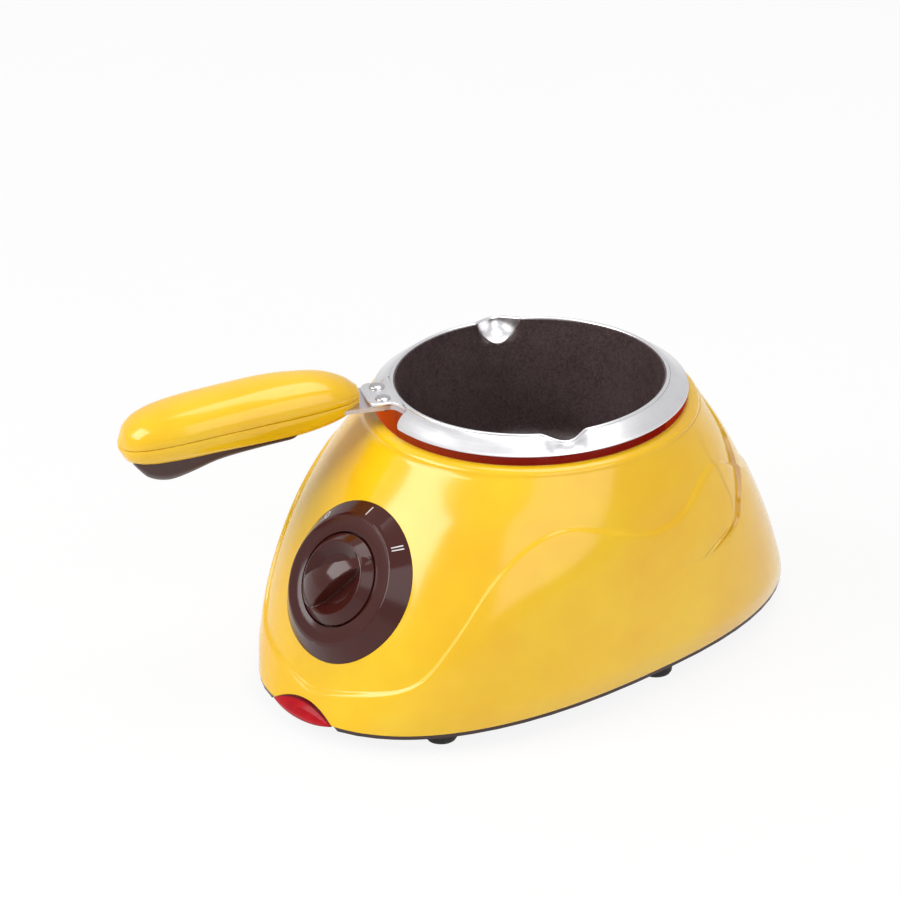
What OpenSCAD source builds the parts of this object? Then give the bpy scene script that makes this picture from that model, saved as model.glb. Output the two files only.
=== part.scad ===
// Electric chocolate melting pot: a lift-off pot with a handle on a heated, moulded base.
// The origin is on the pot's axis at the table, +Z is up and the dial faces -Y.

/* [Housing] */
// Greatest width of the housing, across its belly
body_w = 132; // [126:1:146]
// Reach of the front edge from the pot's axis
body_front = 105; // [101:1:112]
// Reach of the rear edge from the pot's axis
body_rear = 93; // [88:1:104]
// Height of the opening's edge above the table
body_top = 85; // [83:1:90]
// Wall of the moulded housing
body_wall = 2.4; // [2:0.1:2.8]
// How far the wavy skirt stands proud of the wall above it
skirt_proud = 0.9; // [0.5:0.1:1.4]
// Width of the rounded lip round the opening
lip_w = 5; // [4:0.2:6]
// Height of the rounded lip
lip_h = 2.4; // [1.8:0.2:3]

/* [Well and pot] */
// Inner radius of the pot at its rim
pot_r = 45; // [43:0.5:47]
// Gap between the pot's wall and the well round it
well_gap = 4.8; // [4.4:0.1:5.6]
// Depth of the pot inside
pot_depth = 46; // [42:1:47]
// How much narrower the pot's floor is than its rim
pot_taper = 3; // [2:0.5:5]
// Radius between the pot's wall and floor
pot_corner_r = 9; // [6:1:12]
// Sheet that the pot is pressed from
pot_wall = 1.2; // [1:0.1:1.4]
// Height of the pot's rim above the housing's opening
pot_rise = 8.3; // [8:0.1:10]
// Thickness of the dark coating inside the pot
coating_t = 0.3; // [0.2:0.05:0.4]
// Radius of the bead round the rim
bead_r = 1.1; // [0.9:0.1:1.3]
// Width of the sloping flange outside the bead
flange_w = 5.2; // [4:0.2:6]
// Drop of the flange from the bead to its outer edge
flange_drop = 4.6; // [4:0.2:5]
// Width of a pouring beak where it leaves the rim
beak_w = 16; // [12:1:20]
// Reach of a pouring beak past the rim
beak_out = 4.6; // [3:0.2:6]
// Height of a pouring beak
beak_h = 8; // [6:1:10]

/* [Handle] */
// Turn of the handle from straight front, towards the left
handle_turn = 29; // [0:1:45]
// Gap between the pot's tab and the handle's inner end
handle_gap = 2.3; // [1.5:0.1:4]
// Length of the handle's grip
handle_len = 80; // [74:1:90]
// Greatest width of the handle
handle_w = 26; // [24:1:30]
// Greatest height of the handle's two shells
handle_h = 20.8; // [19:0.2:24]
// How far the handle's centre line sinks towards its far end
handle_droop = 8; // [4:0.5:10]
// Wall of the handle's shells
handle_wall = 2.2; // [1.8:0.1:2.6]
// Depth of the finger bulge under the handle
grip_bulge = 6; // [3:0.5:7]
// Thickness of the metal bracket under the pot's tab
bracket_t = 1.5; // [1.2:0.1:1.8]
// Width of the tab and the bracket under the two rivets
bracket_w = 17; // [16:0.5:20]
// Width of the bracket's tongue inside the handle
tongue_w = 9; // [8:0.5:10]
// Radius of a rivet's shank
rivet_r = 1.5; // [1.2:0.1:1.7]
// Distance between the two rivets
rivet_pitch = 9.6; // [8.6:0.2:11]

/* [Dial and knob] */
// Height of the dial's centre above the table
dial_z = 47; // [45:0.5:50]
// Outer radius of the dial ring
dial_r = 27; // [25:0.5:28]
// Height of the ring's flat face above the housing
dial_rise = 3; // [2:0.2:4]
// Depth of the round seat sunk into the housing
dial_seat = 4.8; // [4.6:0.1:5.4]
// Radius of the knob's skirt
knob_r = 15.3; // [14:0.1:16]
// Gap round the knob's skirt
knob_gap = 0.6; // [0.4:0.1:1]
// Height of the knob's crown above the ring's flat face
knob_rise = 6.6; // [5:0.2:8]
// Angle between two settings of the knob
dial_step = 45; // [30:5:45]
// Radius of the switch shaft
shaft_r = 3; // [2.5:0.1:3.5]
// Running clearance of the shaft in the switch
shaft_clear = 0.05; // [0.02:0.01:0.1]

/* [Base] */
// Height of the rubber feet below the base plate
foot_h = 5; // [4:0.5:7]
// Radius of a rubber foot
foot_r = 5.6; // [4.5:0.1:6.4]
// Thickness of the base plate's edge, seen below the housing
plate_edge = 1.3; // [1:0.1:2]
// Thickness of the base plate
plate_t = 2.2; // [2:0.1:3]
// Width of the red lamp lens
lens_w = 29; // [24:1:34]
// Height of the lens's arch above the housing's edge
lens_h = 4.7; // [3.5:0.1:5.5]
// How far the lens bulges from the housing
lens_bulge = 1.6; // [0.8:0.2:2.4]

/* [Heater] */
// Gap between the heater plate and the well round it
heater_gap = 3; // [2:0.5:5]
// Thickness of the heater plate
heater_t = 3; // [2.5:0.1:4]
// Width of the ledge that carries the heater plate
ledge_w = 12.5; // [11:0.5:14]
// Thickness of the flat heating element
element_t = 1.2; // [0.8:0.1:1.6]
// Gap between the pot's base and the heater plate
seat_clear = 0.1; // [0.05:0.05:0.3]

/* [Hidden] */

// Overrun of a cut past the face that it leaves
over = 1;
// Clearance between fixed pieces that fit into each other
fit = 0.1;
// Points of a full turn on round revolved shapes
$fn = 72;

// Heights of the base, from the table up
edge_z = foot_h + plate_edge;
loft_top = body_top - lip_h;
loft_h = loft_top - edge_z;

// Radii round the pot: well, lip, heater plate, ledge and heating element
well_r = pot_r + pot_wall + well_gap;
top_r = well_r + lip_w;
heater_r = well_r - heater_gap;
ledge_r = well_r - ledge_w;
element_r = ledge_r - 1.45 * body_wall;

// Heights of the pot and of what carries it
rim_z = body_top + pot_rise;
tab_z = rim_z - pot_wall;
pot_floor_z = rim_z - pot_depth;
pot_base_z = pot_floor_z - pot_wall;
heater_z = pot_base_z - seat_clear - heater_t;
ledge_z = heater_z - body_wall;

// Housing sections by height: height share, then shares of the belly's width, front and rear
// beyond the opening's lip, and the squareness of the outline
section_shares = [
    [0.00, 0.48, 1.000, 1.000, 2.40],
    [0.12, 0.80, 0.895, 0.825, 2.60],
    [0.35, 1.00, 0.745, 0.612, 2.60],
    [0.60, 0.98, 0.510, 0.370, 2.50],
    [0.82, 0.58, 0.275, 0.205, 2.20],
    [1.00, 0.00, 0.000, 0.000, 2.00]];
// Top edge of the skirt: angle round the section, height share
wave_shares = [
    [0, 0.100], [12, 0.150], [24, 0.195], [30, 0.245], [34, 0.330], [38, 0.470], [41, 0.590],
    [45, 0.680], [51, 0.760], [58, 0.803], [66, 0.800], [76, 0.760], [88, 0.697], [94, 0.718],
    [104, 0.795], [113, 0.832], [120, 0.806], [129, 0.730], [145, 0.640], [180, 0.600]];
// Angles of the housing's columns on one side, closer together where the wave climbs
column_angles = [for (a = [0 : 6 : 24]) a, for (a = [29 : 3 : 50]) a, for (a = [56 : 6 : 176]) a];

// Smooth curve through the rows of a table, first column against column c
function row(tb, x, i = 0) = i >= len(tb) - 2 || x < tb[i + 1][0] ? i : row(tb, x, i + 1);
function slope(tb, i, c) =
    let (a = max(i - 1, 0), b = min(i + 1, len(tb) - 1)) (tb[b][c] - tb[a][c]) / (tb[b][0] - tb[a][0]);
function curve(tb, x, c) =
    let (i = row(tb, x), h = tb[i + 1][0] - tb[i][0], t = (x - tb[i][0]) / h)
    tb[i][c] * (1 + 2 * t) * (1 - t) ^ 2 + slope(tb, i, c) * h * t * (1 - t) ^ 2
    + tb[i + 1][c] * t ^ 2 * (3 - 2 * t) + slope(tb, i + 1, c) * h * t ^ 2 * (t - 1);

// Half sizes of the housing's outer skin at a height share
function half_width(t) = top_r + curve(section_shares, t, 1) * (body_w / 2 - top_r - skirt_proud);
function front_reach(t) = top_r + curve(section_shares, t, 2) * (body_front - top_r - skirt_proud);
function rear_reach(t) = top_r + curve(section_shares, t, 3) * (body_rear - top_r - skirt_proud);
function round_power(v, n) = sign(v) * abs(v) ^ (2 / n);
// Point of the section at height share t and angle a from the front, grown by an offset
function skin_point(t, a, grow) = let (n = curve(section_shares, t, 4))
    [round_power(sin(a), n) * (half_width(t) + grow),
     -round_power(cos(a), n) * ((cos(a) > 0 ? front_reach(t) : rear_reach(t)) + grow)];
function height_at(t) = edge_z + t * loft_h;
function share_at(z) = (z - edge_z) / loft_h;
function mirrored(list) =
    concat([for (a = list) a], [180], [for (i = [len(list) - 1 : -1 : 1]) 360 - list[i]]);
columns = mirrored(column_angles);
function wave_at(a) = curve(wave_shares, a > 180 ? 360 - a : a, 1);

function skin_ring(t, grow, z) = [for (a = columns) let (p = skin_point(t, a, grow)) [p.x, p.y, z]];
function circle_ring(r, z) = [for (a = columns) [r * sin(a), -r * cos(a), z]];
// Ring that follows the skirt's edge: s runs from 0 at the bottom to 1 at the wave, to 2 at the top
function wave_height(a, s) = s <= 1 ? wave_at(a) * s : wave_at(a) + (1 - wave_at(a)) * (s - 1);
function wave_ring(s, grow, rise = 0) =
    [for (a = columns) let (t = wave_height(a, s) + rise / loft_h, p = skin_point(t, a, grow))
        [p.x, p.y, height_at(t)]];

// Closed solid through a stack of rings, or round a loop of them
module ring_loft(rings, loop = false) {
    n = len(rings[0]);
    m = len(rings);
    sides = [for (j = [0 : m - (loop ? 1 : 2)], i = [0 : n - 1])
        let (a = j * n + i, b = j * n + (i + 1) % n, k = ((j + 1) % m) * n, c = k + (i + 1) % n, d = k + i)
        each [[a, c, b], [a, d, c]]];
    top = (m - 1) * n;
    caps = loop ? [] : [for (i = [0 : n / 2 - 2]) each [
        [i, i + 1, n - 2 - i], [i, n - 2 - i, n - 1 - i],
        [top + i, top + n - 2 - i, top + i + 1], [top + i, top + n - 1 - i, top + n - 2 - i]]];
    polyhedron([for (r = rings) each r], concat(sides, caps), convexity = 8);
}

// Solid between two height shares of the housing's outline, grown by an offset
module skin_slab(t0, t1, grow) {
    ring_loft([for (t = [t0, (t0 + t1) / 2, t1]) skin_ring(t, grow, height_at(t))]);
}

// The housing's outline at its lower edge, grown by an offset
module foot_outline(grow) {
    polygon([for (a = columns) skin_point(0, a, grow + skirt_proud)]);
}

// Lean of the front wall and place of the dial on it
lean_share = 0.08;
dial_share = share_at(dial_z);
dial_y = -front_reach(dial_share);
dial_lean = atan2(front_reach(dial_share - lean_share) - front_reach(dial_share + lean_share),
    2 * lean_share * loft_h);
// The dial's own frame: its centre on the housing, +Z outwards, +Y up the wall
module at_dial() {
    translate([0, dial_y, dial_z]) rotate([90 - dial_lean, 0, 0]) children();
}
// The pot's own frame, with the handle along +X
module at_handle() {
    rotate([0, 0, -90 - handle_turn]) children();
}
// Copies on both sides of the housing
module both_sides() {
    for (side = [0, 1]) mirror([side, 0, 0]) children();
}
// Cylinder from one height to another
module rod(r, z0, z1) {
    translate([0, 0, z0]) cylinder(r = r, h = z1 - z0);
}
// Box centred on x and y from one height to another
module slab(w, d, z0, z1) {
    translate([-w / 2, -d / 2, z0]) cube([w, d, z1 - z0]);
}
// Pan-head screw along +Z, with its head's underside at z = 0 and the head below it
module screw(r, length) {
    head_r = 1.9 * r;
    head_h = 1.1 * r;
    rotate_extrude() polygon([[0, -head_h], [0.75 * head_r, -head_h], [head_r, -0.55 * head_h],
        [head_r, 0], [r, 0], [r, length - r], [0.3 * r, length], [0, length]]);
}

// Screws, pillars and places of the base
screw_r = 1.5;
pillar_r = 4;
pillar_share = 0.93;
pillar_at = pillar_share * well_r;
plate_top = foot_h + plate_t;
head_sink_share = 0.55;
foot_shares = [[0.55, -0.72], [0.80, 0.06], [0.55, 0.69]];
stem_r = 2.4;
function foot_place(s) = [s.x * body_w / 2, s.y * (s.y < 0 ? body_front : body_rear)];
function pillar_place(a) = pillar_at * [cos(a), sin(a)];
pillar_angles = [45, 135, 225, 315];
heater_screw_angles = [90, 210, 330];
heater_screw_at = (ledge_r + heater_r) / 2;

// Lamp window: an arch over the housing's lower edge, and the lens's lower arc under it
lens_drop_share = 0.47;
lens_drop = lens_drop_share * lens_h;
function arc_r(half, rise) = (half ^ 2 + rise ^ 2) / (2 * rise);
arch_r = arc_r(lens_w / 2, lens_h);
sill_r = arc_r(lens_w / 2, lens_drop);
lens_depth = 2 * body_wall + lens_bulge;
lens_back = -body_front + lens_depth - lens_bulge;
nose_squareness = section_shares[0][4];
lens_sag = body_front * (1 - (1 - (lens_w / 2 / half_width(0)) ^ nose_squareness) ^ (1 / nose_squareness));
module lens_arch(grow) {
    translate([0, lens_back, edge_z + lens_h - arch_r]) rotate([90, 0, 0])
        cylinder(r = arch_r + grow, h = lens_depth + over);
}

// Cord gland and the flat boss that it seats on
cord_r = 3.2;
gland_r = 5;
gland_boss_r = gland_r + 1.5 * body_wall;
gland_z = plate_top + gland_boss_r + 2 * fit;
gland_reach = rear_reach(share_at(gland_z)) + skirt_proud;
gland_seat = gland_reach - gland_boss_r - body_wall;
module at_gland() {
    translate([0, gland_seat, gland_z]) rotate([-90, 0, 0]) children();
}

// Switch behind the dial
seat_wall = body_wall;
seat_back = -dial_seat - seat_wall;
switch_w = 20;
switch_h = 12;
neck_r = shaft_r + 2;
dial_screw_share = 0.78;
dial_screw_at = dial_screw_share * switch_w / 2;
ring_cone_share = 0.7;
ring_top_share = 0.79;
pocket_floor = -dial_rise / 6;
module ring_outline(grow) {
    polygon([[0, -dial_seat], [dial_r + grow, -dial_seat], [dial_r + grow, -ring_cone_share * dial_seat],
        [ring_top_share * dial_r + grow, dial_rise], [0, dial_rise]]);
}

// Recess behind the fold on each side: height share, angles of its soft front line and its sharp
// rear line, share of its depth
crease_shares = [
    [0.495, 98.0, 101.5, 0.05], [0.53, 105.0, 109.5, 0.50], [0.55, 110.0, 114.1, 0.60],
    [0.62, 114.0, 119.2, 0.70], [0.66, 115.1, 124.0, 0.85], [0.71, 115.3, 130.3, 1.00],
    [0.76, 115.6, 135.1, 0.85], [0.81, 115.9, 140.0, 0.60], [0.87, 116.5, 143.0, 0.05]];
crease_depth = 0.6 * body_wall;
function crease_point(t, a, grow) =
    let (p = skin_point(t, a, grow + (t < wave_at(a) ? skirt_proud : 0))) [p.x, p.y, height_at(t)];
module side_crease() {
    ring_loft([for (c = crease_shares) [crease_point(c[0], c[1], 0), crease_point(c[0], c[1], 2 * over),
        crease_point(c[0], c[2], 2 * over), crease_point(c[0], c[2], -c[3] * crease_depth)]]);
}

// Housing: skirt, upper wall, rounded lip, well and the ledge under the heater
module housing_shell() {
    edge_r = body_wall / 2;
    cavity_share = 0.9;
    step = skirt_proud;
    lower = [for (s = [0, 0.3, 0.6, 0.85]) wave_ring(s, skirt_proud)];
    crest = [wave_ring(1, skirt_proud, -1.5 * step), wave_ring(1, 0.7 * skirt_proud, -0.4 * step),
        wave_ring(1, 0, 0.6 * step)];
    upper = [for (s = [1.12, 1.3, 1.5, 1.7, 1.87]) wave_ring(s, 0)];
    lip = [for (q = [0 : 22.5 : 90])
        circle_ring(top_r - (lip_w - edge_r) * (1 - cos(q)), loft_top + lip_h * sin(q))];
    well = [circle_ring(well_r + 0.3 * edge_r, body_top - 0.3 * edge_r),
        circle_ring(well_r, body_top - edge_r), circle_ring(well_r, heater_z),
        circle_ring(ledge_r, heater_z), circle_ring(ledge_r, ledge_z),
        circle_ring(well_r + body_wall, ledge_z), circle_ring(well_r + body_wall, height_at(cavity_share))];
    inside = [for (t = [cavity_share, 0.75, 0.55, 0.35, 0.18, 0.07, 0])
        skin_ring(t, -body_wall, height_at(t))];
    ring_loft(concat(lower, crest, upper, lip, well, inside), loop = true);
}
module housing() {
    dial_boss_r = dial_r + body_wall;
    dial_band = 0.42;
    gland_band = [0.01, 0.4];
    color("gold") difference() {
        union() {
            housing_shell();
            intersection() {
                at_dial() rod(dial_boss_r, seat_back, 0);
                skin_slab(dial_share - dial_band, dial_share + dial_band, -body_wall / 4);
            }
            intersection() {
                at_gland() rod(gland_boss_r, 0, 3 * gland_boss_r);
                skin_slab(gland_band[0], gland_band[1], -body_wall / 4);
            }
            for (a = pillar_angles) translate(pillar_place(a))
                rod(pillar_r, plate_top, ledge_z + body_wall / 2);
        }
        both_sides() side_crease();
        at_dial() rotate_extrude() ring_outline(fit);
        at_dial() rod(neck_r + fit, seat_back - over, 0);
        at_dial() for (x = [-1, 1]) translate([x * dial_screw_at, 0]) rod(screw_r + fit, seat_back - over, 0);
        lens_arch(0);
        at_gland() rod(gland_r + fit / 2, -over, 4 * gland_boss_r);
        for (a = pillar_angles) translate(pillar_place(a))
            rod(screw_r, plate_top - over, plate_top + 4 * pillar_r);
        for (a = heater_screw_angles) rotate(a) translate([heater_screw_at, 0])
            rod(screw_r + fit, ledge_z - over, heater_z + over);
    }
}

// Base plate: a flat plug inside the housing with an edge that shows below it
module base_plate() {
    head_r = 1.9 * screw_r + 2 * fit;
    vent_w = 2.4;
    vent_l = 5 * stem_r;
    color("#4a2f2a") difference() {
        union() {
            translate([0, 0, foot_h]) linear_extrude(plate_edge) foot_outline(-skirt_proud / 3);
            translate([0, 0, foot_h]) linear_extrude(plate_t)
                polygon([for (a = columns) skin_point(0, a, -body_wall - 2 * fit)]);
        }
        lens_arch(fit);
        both_sides() for (s = foot_shares) translate(foot_place(s))
            rod(stem_r, foot_h - over, plate_top + over);
        for (a = pillar_angles) translate(pillar_place(a)) {
            rod(screw_r + fit, foot_h - over, plate_top + over);
            rod(head_r, foot_h - over, foot_h + head_sink_share * plate_t);
        }
        for (i = [-2 : 2]) translate([3 * i * vent_w, 0])
            slab(vent_w, vent_l, foot_h - over, plate_top + over);
    }
}
module rubber_feet() {
    lip = 1.3 * stem_r;
    color("#26201f") both_sides() for (s = foot_shares) translate(foot_place(s)) rotate_extrude()
        polygon([[0, 0], [0.84 * foot_r, 0], [0.93 * foot_r, 0.16 * foot_h], [foot_r, 0.8 * foot_h],
            [foot_r, foot_h], [stem_r, foot_h], [stem_r, plate_top], [lip, plate_top],
            [0.7 * stem_r, plate_top + lip], [0, plate_top + lip]]);
}
module base_screws() {
    color("silver") for (a = pillar_angles)
        translate([each pillar_place(a), foot_h + head_sink_share * plate_t]) screw(screw_r, 3 * pillar_r);
}

// Red lens under its arch, rounded both ways
module lamp_lens() {
    half_h = (lens_h + lens_drop) / 2;
    mid_z = edge_z + (lens_h - lens_drop) / 2;
    front = -body_front - lens_bulge;
    side_r = arc_r(lens_w / 2, lens_sag + lens_bulge / 2);
    face_r = arc_r(half_h, 0.75 * half_h);
    color("crimson") intersection() {
        lens_arch(-fit);
        translate([0, lens_back + fit, edge_z - lens_drop + sill_r]) rotate([90, 0, 0])
            cylinder(r = sill_r, h = 2 * lens_depth);
        translate([0, front + side_r, 0]) rod(side_r, 0, body_top);
        translate([-lens_w, front + face_r, mid_z]) rotate([0, 90, 0]) {
            cylinder(r = face_r, h = 2 * lens_w);
            translate([-2 * face_r, 0, 0]) cube([4 * face_r, 3 * lens_depth, 2 * lens_w]);
        }
    }
}
// Clip on the base plate behind the lens, and the neon lamp in it
lamp_r = 2.2;
lamp_z = plate_top + 2 * lamp_r;
lamp_front = lens_back + lamp_r;
lamp_length = 6 * lamp_r;
module lamp_holder() {
    wall = 0.7 * lamp_r;
    color("ivory") difference() {
        translate([0, lamp_front + 0.6 * lamp_length, 0])
            slab(2 * (lamp_r + wall), 0.4 * lamp_length, plate_top, lamp_z + lamp_r + wall);
        translate([0, lamp_front, lamp_z]) rotate([-90, 0, 0]) rod(lamp_r, -over, lamp_length + over);
    }
}
module neon_lamp() {
    color("orangered") translate([0, lamp_front, lamp_z]) rotate([-90, 0, 0]) rotate_extrude() {
        polygon([[0, 0], for (q = [0 : 15 : 75]) lamp_r * [sin(q), 1 - cos(q)], [lamp_r, lamp_r],
            [lamp_r, lamp_length], [0, lamp_length]]);
    }
}

// Dial ring: a truncated cone sunk into its round seat, with a pocket for the knob
module dial_ring() {
    head_r = 1.9 * screw_r + fit;
    head_h = 1.1 * screw_r + fit;
    color("#4a2f2a") at_dial() difference() {
        rotate_extrude() ring_outline(0);
        rod(knob_r + knob_gap, pocket_floor, dial_rise + over);
        rod(shaft_r + 4 * fit, -dial_seat - over, dial_rise);
        for (x = [-1, 1]) translate([x * dial_screw_at, 0]) {
            rod(screw_r + fit, -dial_seat - over, dial_rise);
            rod(head_r, pocket_floor - head_h, dial_rise);
        }
    }
}
module dial_screws() {
    length = dial_seat + seat_wall + switch_h / 2;
    color("silver") at_dial() for (x = [-1, 1])
        translate([x * dial_screw_at, 0, pocket_floor - 1.1 * screw_r - fit]) mirror([0, 0, 1])
            screw(screw_r, length);
}

// Knob: conical skirt, dished top and a pointed grip, turned to its highest setting
knob_base = pocket_floor + 3 * fit;
knob_rim = dial_rise + 0.48 * knob_rise;
knob_top = dial_rise + knob_rise;
socket_top = dial_rise + 0.35 * knob_rise;
module shaft_section(clear) {
    flat = 0.55 * shaft_r;
    intersection() {
        circle(r = shaft_r + clear);
        translate([-2 * shaft_r, -2 * shaft_r]) square([4 * shaft_r, 2 * shaft_r + flat + clear]);
    }
}
module control_knob() {
    rim_r = 0.82 * knob_r;
    dish_r = 0.55 * knob_r;
    crown_h = knob_top - dial_rise - 0.12 * knob_rise;
    crown_r = arc_r(knob_r, crown_h);
    color("#4a2f2a") at_dial() rotate([0, 0, -dial_step]) difference() {
        union() {
            rotate_extrude() polygon([[0, knob_base], [knob_r, knob_base],
                [knob_r, dial_rise + 0.06 * knob_rise], [rim_r + 0.02 * knob_r, knob_rim],
                [0.95 * rim_r, knob_rim], [dish_r, dial_rise + 0.16 * knob_rise],
                [0, dial_rise + 0.1 * knob_rise]]);
            intersection() {
                rotate_extrude() polygon([[0, dial_rise], [knob_r, dial_rise],
                    for (q = [0 : 0.1 : 1]) let (r = knob_r * (1 - q))
                        [r, knob_top - crown_r + sqrt(crown_r ^ 2 - r ^ 2)]]);
                linear_extrude(knob_top + over) hull() {
                    translate([0, -0.62 * knob_r]) circle(r = 0.36 * knob_r, $fn = 32);
                    translate([0, 0.9 * knob_r]) circle(r = 0.09 * knob_r, $fn = 32);
                }
            }
        }
        difference() {
            rod(0.9 * knob_r, knob_base - over, dial_rise - 0.1 * knob_rise);
            rod(1.9 * shaft_r, knob_base - 2 * over, dial_rise);
        }
        translate([0, 0, knob_base - over]) linear_extrude(socket_top - knob_base + over)
            shaft_section(fit / 2);
    }
}
module switch_shaft() {
    color("silver") at_dial() rotate([0, 0, -dial_step]) {
        rod(shaft_r, seat_back - 0.75 * switch_h, knob_base);
        translate([0, 0, knob_base - fit]) linear_extrude(socket_top - knob_base) shaft_section(0);
    }
}
module rotary_switch() {
    color("#e8e2d0") at_dial() difference() {
        union() {
            slab(switch_w, switch_w, seat_back - switch_h, seat_back);
            rod(neck_r, seat_back - over, -dial_seat);
        }
        rod(shaft_r + shaft_clear, seat_back - 0.75 * switch_h - fit, 0);
        for (x = [-1, 1]) translate([x * dial_screw_at, 0]) rod(screw_r, seat_back - 0.9 * switch_h, 0);
    }
}
module switch_terminals() {
    blade = 0.8;
    color("goldenrod") at_dial() for (x = [-1, 1], y = [-1, 1])
        translate([x * switch_w / 4, y * switch_w / 4])
            slab(5 * blade, blade, seat_back - switch_h - 7 * blade, seat_back - switch_h);
}

// Heater: plate on the ledge, and under it the element, insulation, clamp, thermostat and fuse
element_z = heater_z - element_t;
insulation_t = 1;
insulation_z = element_z - insulation_t;
clamp_t = 1;
clamp_z = insulation_z - clamp_t;
stud_r = 2;
stud_share = 0.62;
stud_at = stud_share * element_r;
stud_angles = [30, 150, 270];
nut_h = 1.6 * stud_r;
module stud_holes(z0, z1) {
    for (a = stud_angles) rotate(a) translate([stud_at, 0]) rod(stud_r + fit, z0 - over, z1 + over);
}
module heater_plate() {
    color("gainsboro") difference() {
        union() {
            rotate_extrude() polygon([[0, heater_z], [heater_r, heater_z],
                [heater_r, heater_z + heater_t - fit], [heater_r - fit, heater_z + heater_t],
                [0, heater_z + heater_t]]);
            for (a = stud_angles) rotate(a) translate([stud_at, 0])
                rod(stud_r, clamp_z - 1.5 * nut_h, heater_z + heater_t / 2);
        }
        for (a = heater_screw_angles) rotate(a) translate([heater_screw_at, 0])
            rod(screw_r, heater_z - over, heater_z + 0.8 * heater_t);
    }
}
module heater_screws() {
    color("silver") for (a = heater_screw_angles) rotate(a) translate([heater_screw_at, 0, ledge_z])
        screw(screw_r, body_wall + 0.75 * heater_t);
}
module heating_element() {
    color("tan") difference() {
        rod(element_r, element_z, heater_z);
        stud_holes(element_z, heater_z);
    }
}
module insulation_disc() {
    color("white") difference() {
        rod(element_r, insulation_z, element_z);
        stud_holes(insulation_z, element_z);
    }
}
module clamp_plate() {
    rim = element_r + fit;
    color("silver") difference() {
        union() {
            rod(element_r, clamp_z, insulation_z);
            difference() {
                rod(rim + clamp_t, clamp_z, heater_z - fit);
                rod(rim, clamp_z - over, heater_z);
            }
            rod(rim + clamp_t, clamp_z, insulation_z);
        }
        stud_holes(clamp_z, insulation_z);
    }
}
module clamp_nuts() {
    color("silver") for (a = stud_angles) rotate(a) translate([stud_at, 0, clamp_z - nut_h]) difference() {
        cylinder(r = 1.9 * stud_r, h = nut_h, $fn = 6);
        translate([0, 0, -over]) cylinder(r = stud_r, h = nut_h + 2 * over);
    }
}
thermostat_r = 8;
thermostat_h = 9;
module thermostat() {
    base_h = thermostat_h / 4;
    blade = 0.8;
    color("#3b3b3b") {
        rod(thermostat_r, clamp_z - base_h, clamp_z);
        rod(0.85 * thermostat_r, clamp_z - thermostat_h, clamp_z - base_h);
        for (x = [-1, 1]) translate([x * thermostat_r / 2, 0])
            slab(blade, 5 * blade, clamp_z - thermostat_h - 6 * blade, clamp_z - thermostat_h);
    }
}
fuse_r = 2;
fuse_length = 8 * fuse_r;
fuse_x = 0.62 * stud_at;
fuse_y = -0.75 * stud_at;
clip_t = 0.8;
module at_fuse() {
    translate([fuse_x, fuse_y, clamp_z - clip_t - fuse_r]) rotate([0, 90, 0]) children();
}
module thermal_fuse() {
    color("wheat") at_fuse() {
        rod(fuse_r, -fuse_length / 2, fuse_length / 2);
        rod(fuse_r / 3, -0.75 * fuse_length, 0.75 * fuse_length);
    }
}
module fuse_clip() {
    color("silver") difference() {
        union() {
            at_fuse() rod(fuse_r + clip_t, -fuse_r, fuse_r);
            translate([fuse_x, fuse_y, 0]) slab(2 * fuse_r, 6 * fuse_r, clamp_z - clip_t, clamp_z);
        }
        at_fuse() rod(fuse_r, -fuse_length, fuse_length);
        translate([fuse_x, fuse_y, 0]) slab(4 * fuse_r, 8 * fuse_r, clamp_z, clamp_z + 4 * fuse_r);
    }
}

// Wiring fittings on the base plate at the rear
block_w = 22;
block_d = 14;
block_h = 13;
block_x = -0.215 * body_w;
block_y = 0.55 * body_rear;
module terminal_block() {
    color("ivory") translate([block_x, block_y, 0]) difference() {
        slab(block_w, block_d, plate_top, plate_top + block_h);
        for (x = [-1, 1]) translate([x * block_w / 4, 0]) {
            translate([0, 0, plate_top + block_h / 3]) rotate([90, 0, 0])
                rod(block_w / 11, -block_d, block_d);
            rod(block_w / 9, plate_top + block_h / 2, plate_top + block_h + over);
        }
    }
}
// Rubber bush through the housing's rear wall, for the mains lead
gland_out = gland_reach - gland_seat + 1.6 * gland_r;
module cord_gland() {
    color("#26201f") at_gland() difference() {
        rotate_extrude() polygon([[0, -body_wall], [gland_boss_r, -body_wall], [gland_boss_r, -fit / 2],
            [gland_r, -fit / 2], [gland_r, gland_reach - gland_seat + gland_r / 2],
            [0.8 * gland_r, gland_out], [0, gland_out]]);
        rod(cord_r, -body_wall - over, gland_out + over);
    }
}
clamp_y = gland_seat - 3.2 * gland_r;
clamp_ear = 2.2 * cord_r + 2 * screw_r;
module cord_clamp() {
    thick = 2 * cord_r;
    color("ivory") translate([0, clamp_y, 0]) difference() {
        union() {
            translate([0, 0, gland_z]) rotate([90, 0, 0]) rod(1.7 * cord_r, -thick / 2, thick / 2);
            slab(3.4 * cord_r, thick, plate_top, gland_z);
            slab(2 * clamp_ear + thick, thick, plate_top, plate_top + body_wall);
        }
        translate([0, 0, gland_z]) rotate([90, 0, 0]) rod(cord_r, -thick, thick);
        for (x = [-1, 1]) translate([x * clamp_ear, 0]) rod(screw_r, plate_top - over, gland_z);
    }
}
module clamp_screws() {
    color("silver") for (x = [-1, 1]) translate([x * clamp_ear, clamp_y, plate_top + body_wall])
        mirror([0, 0, 1]) screw(screw_r, 0.9 * body_wall);
}

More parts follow.
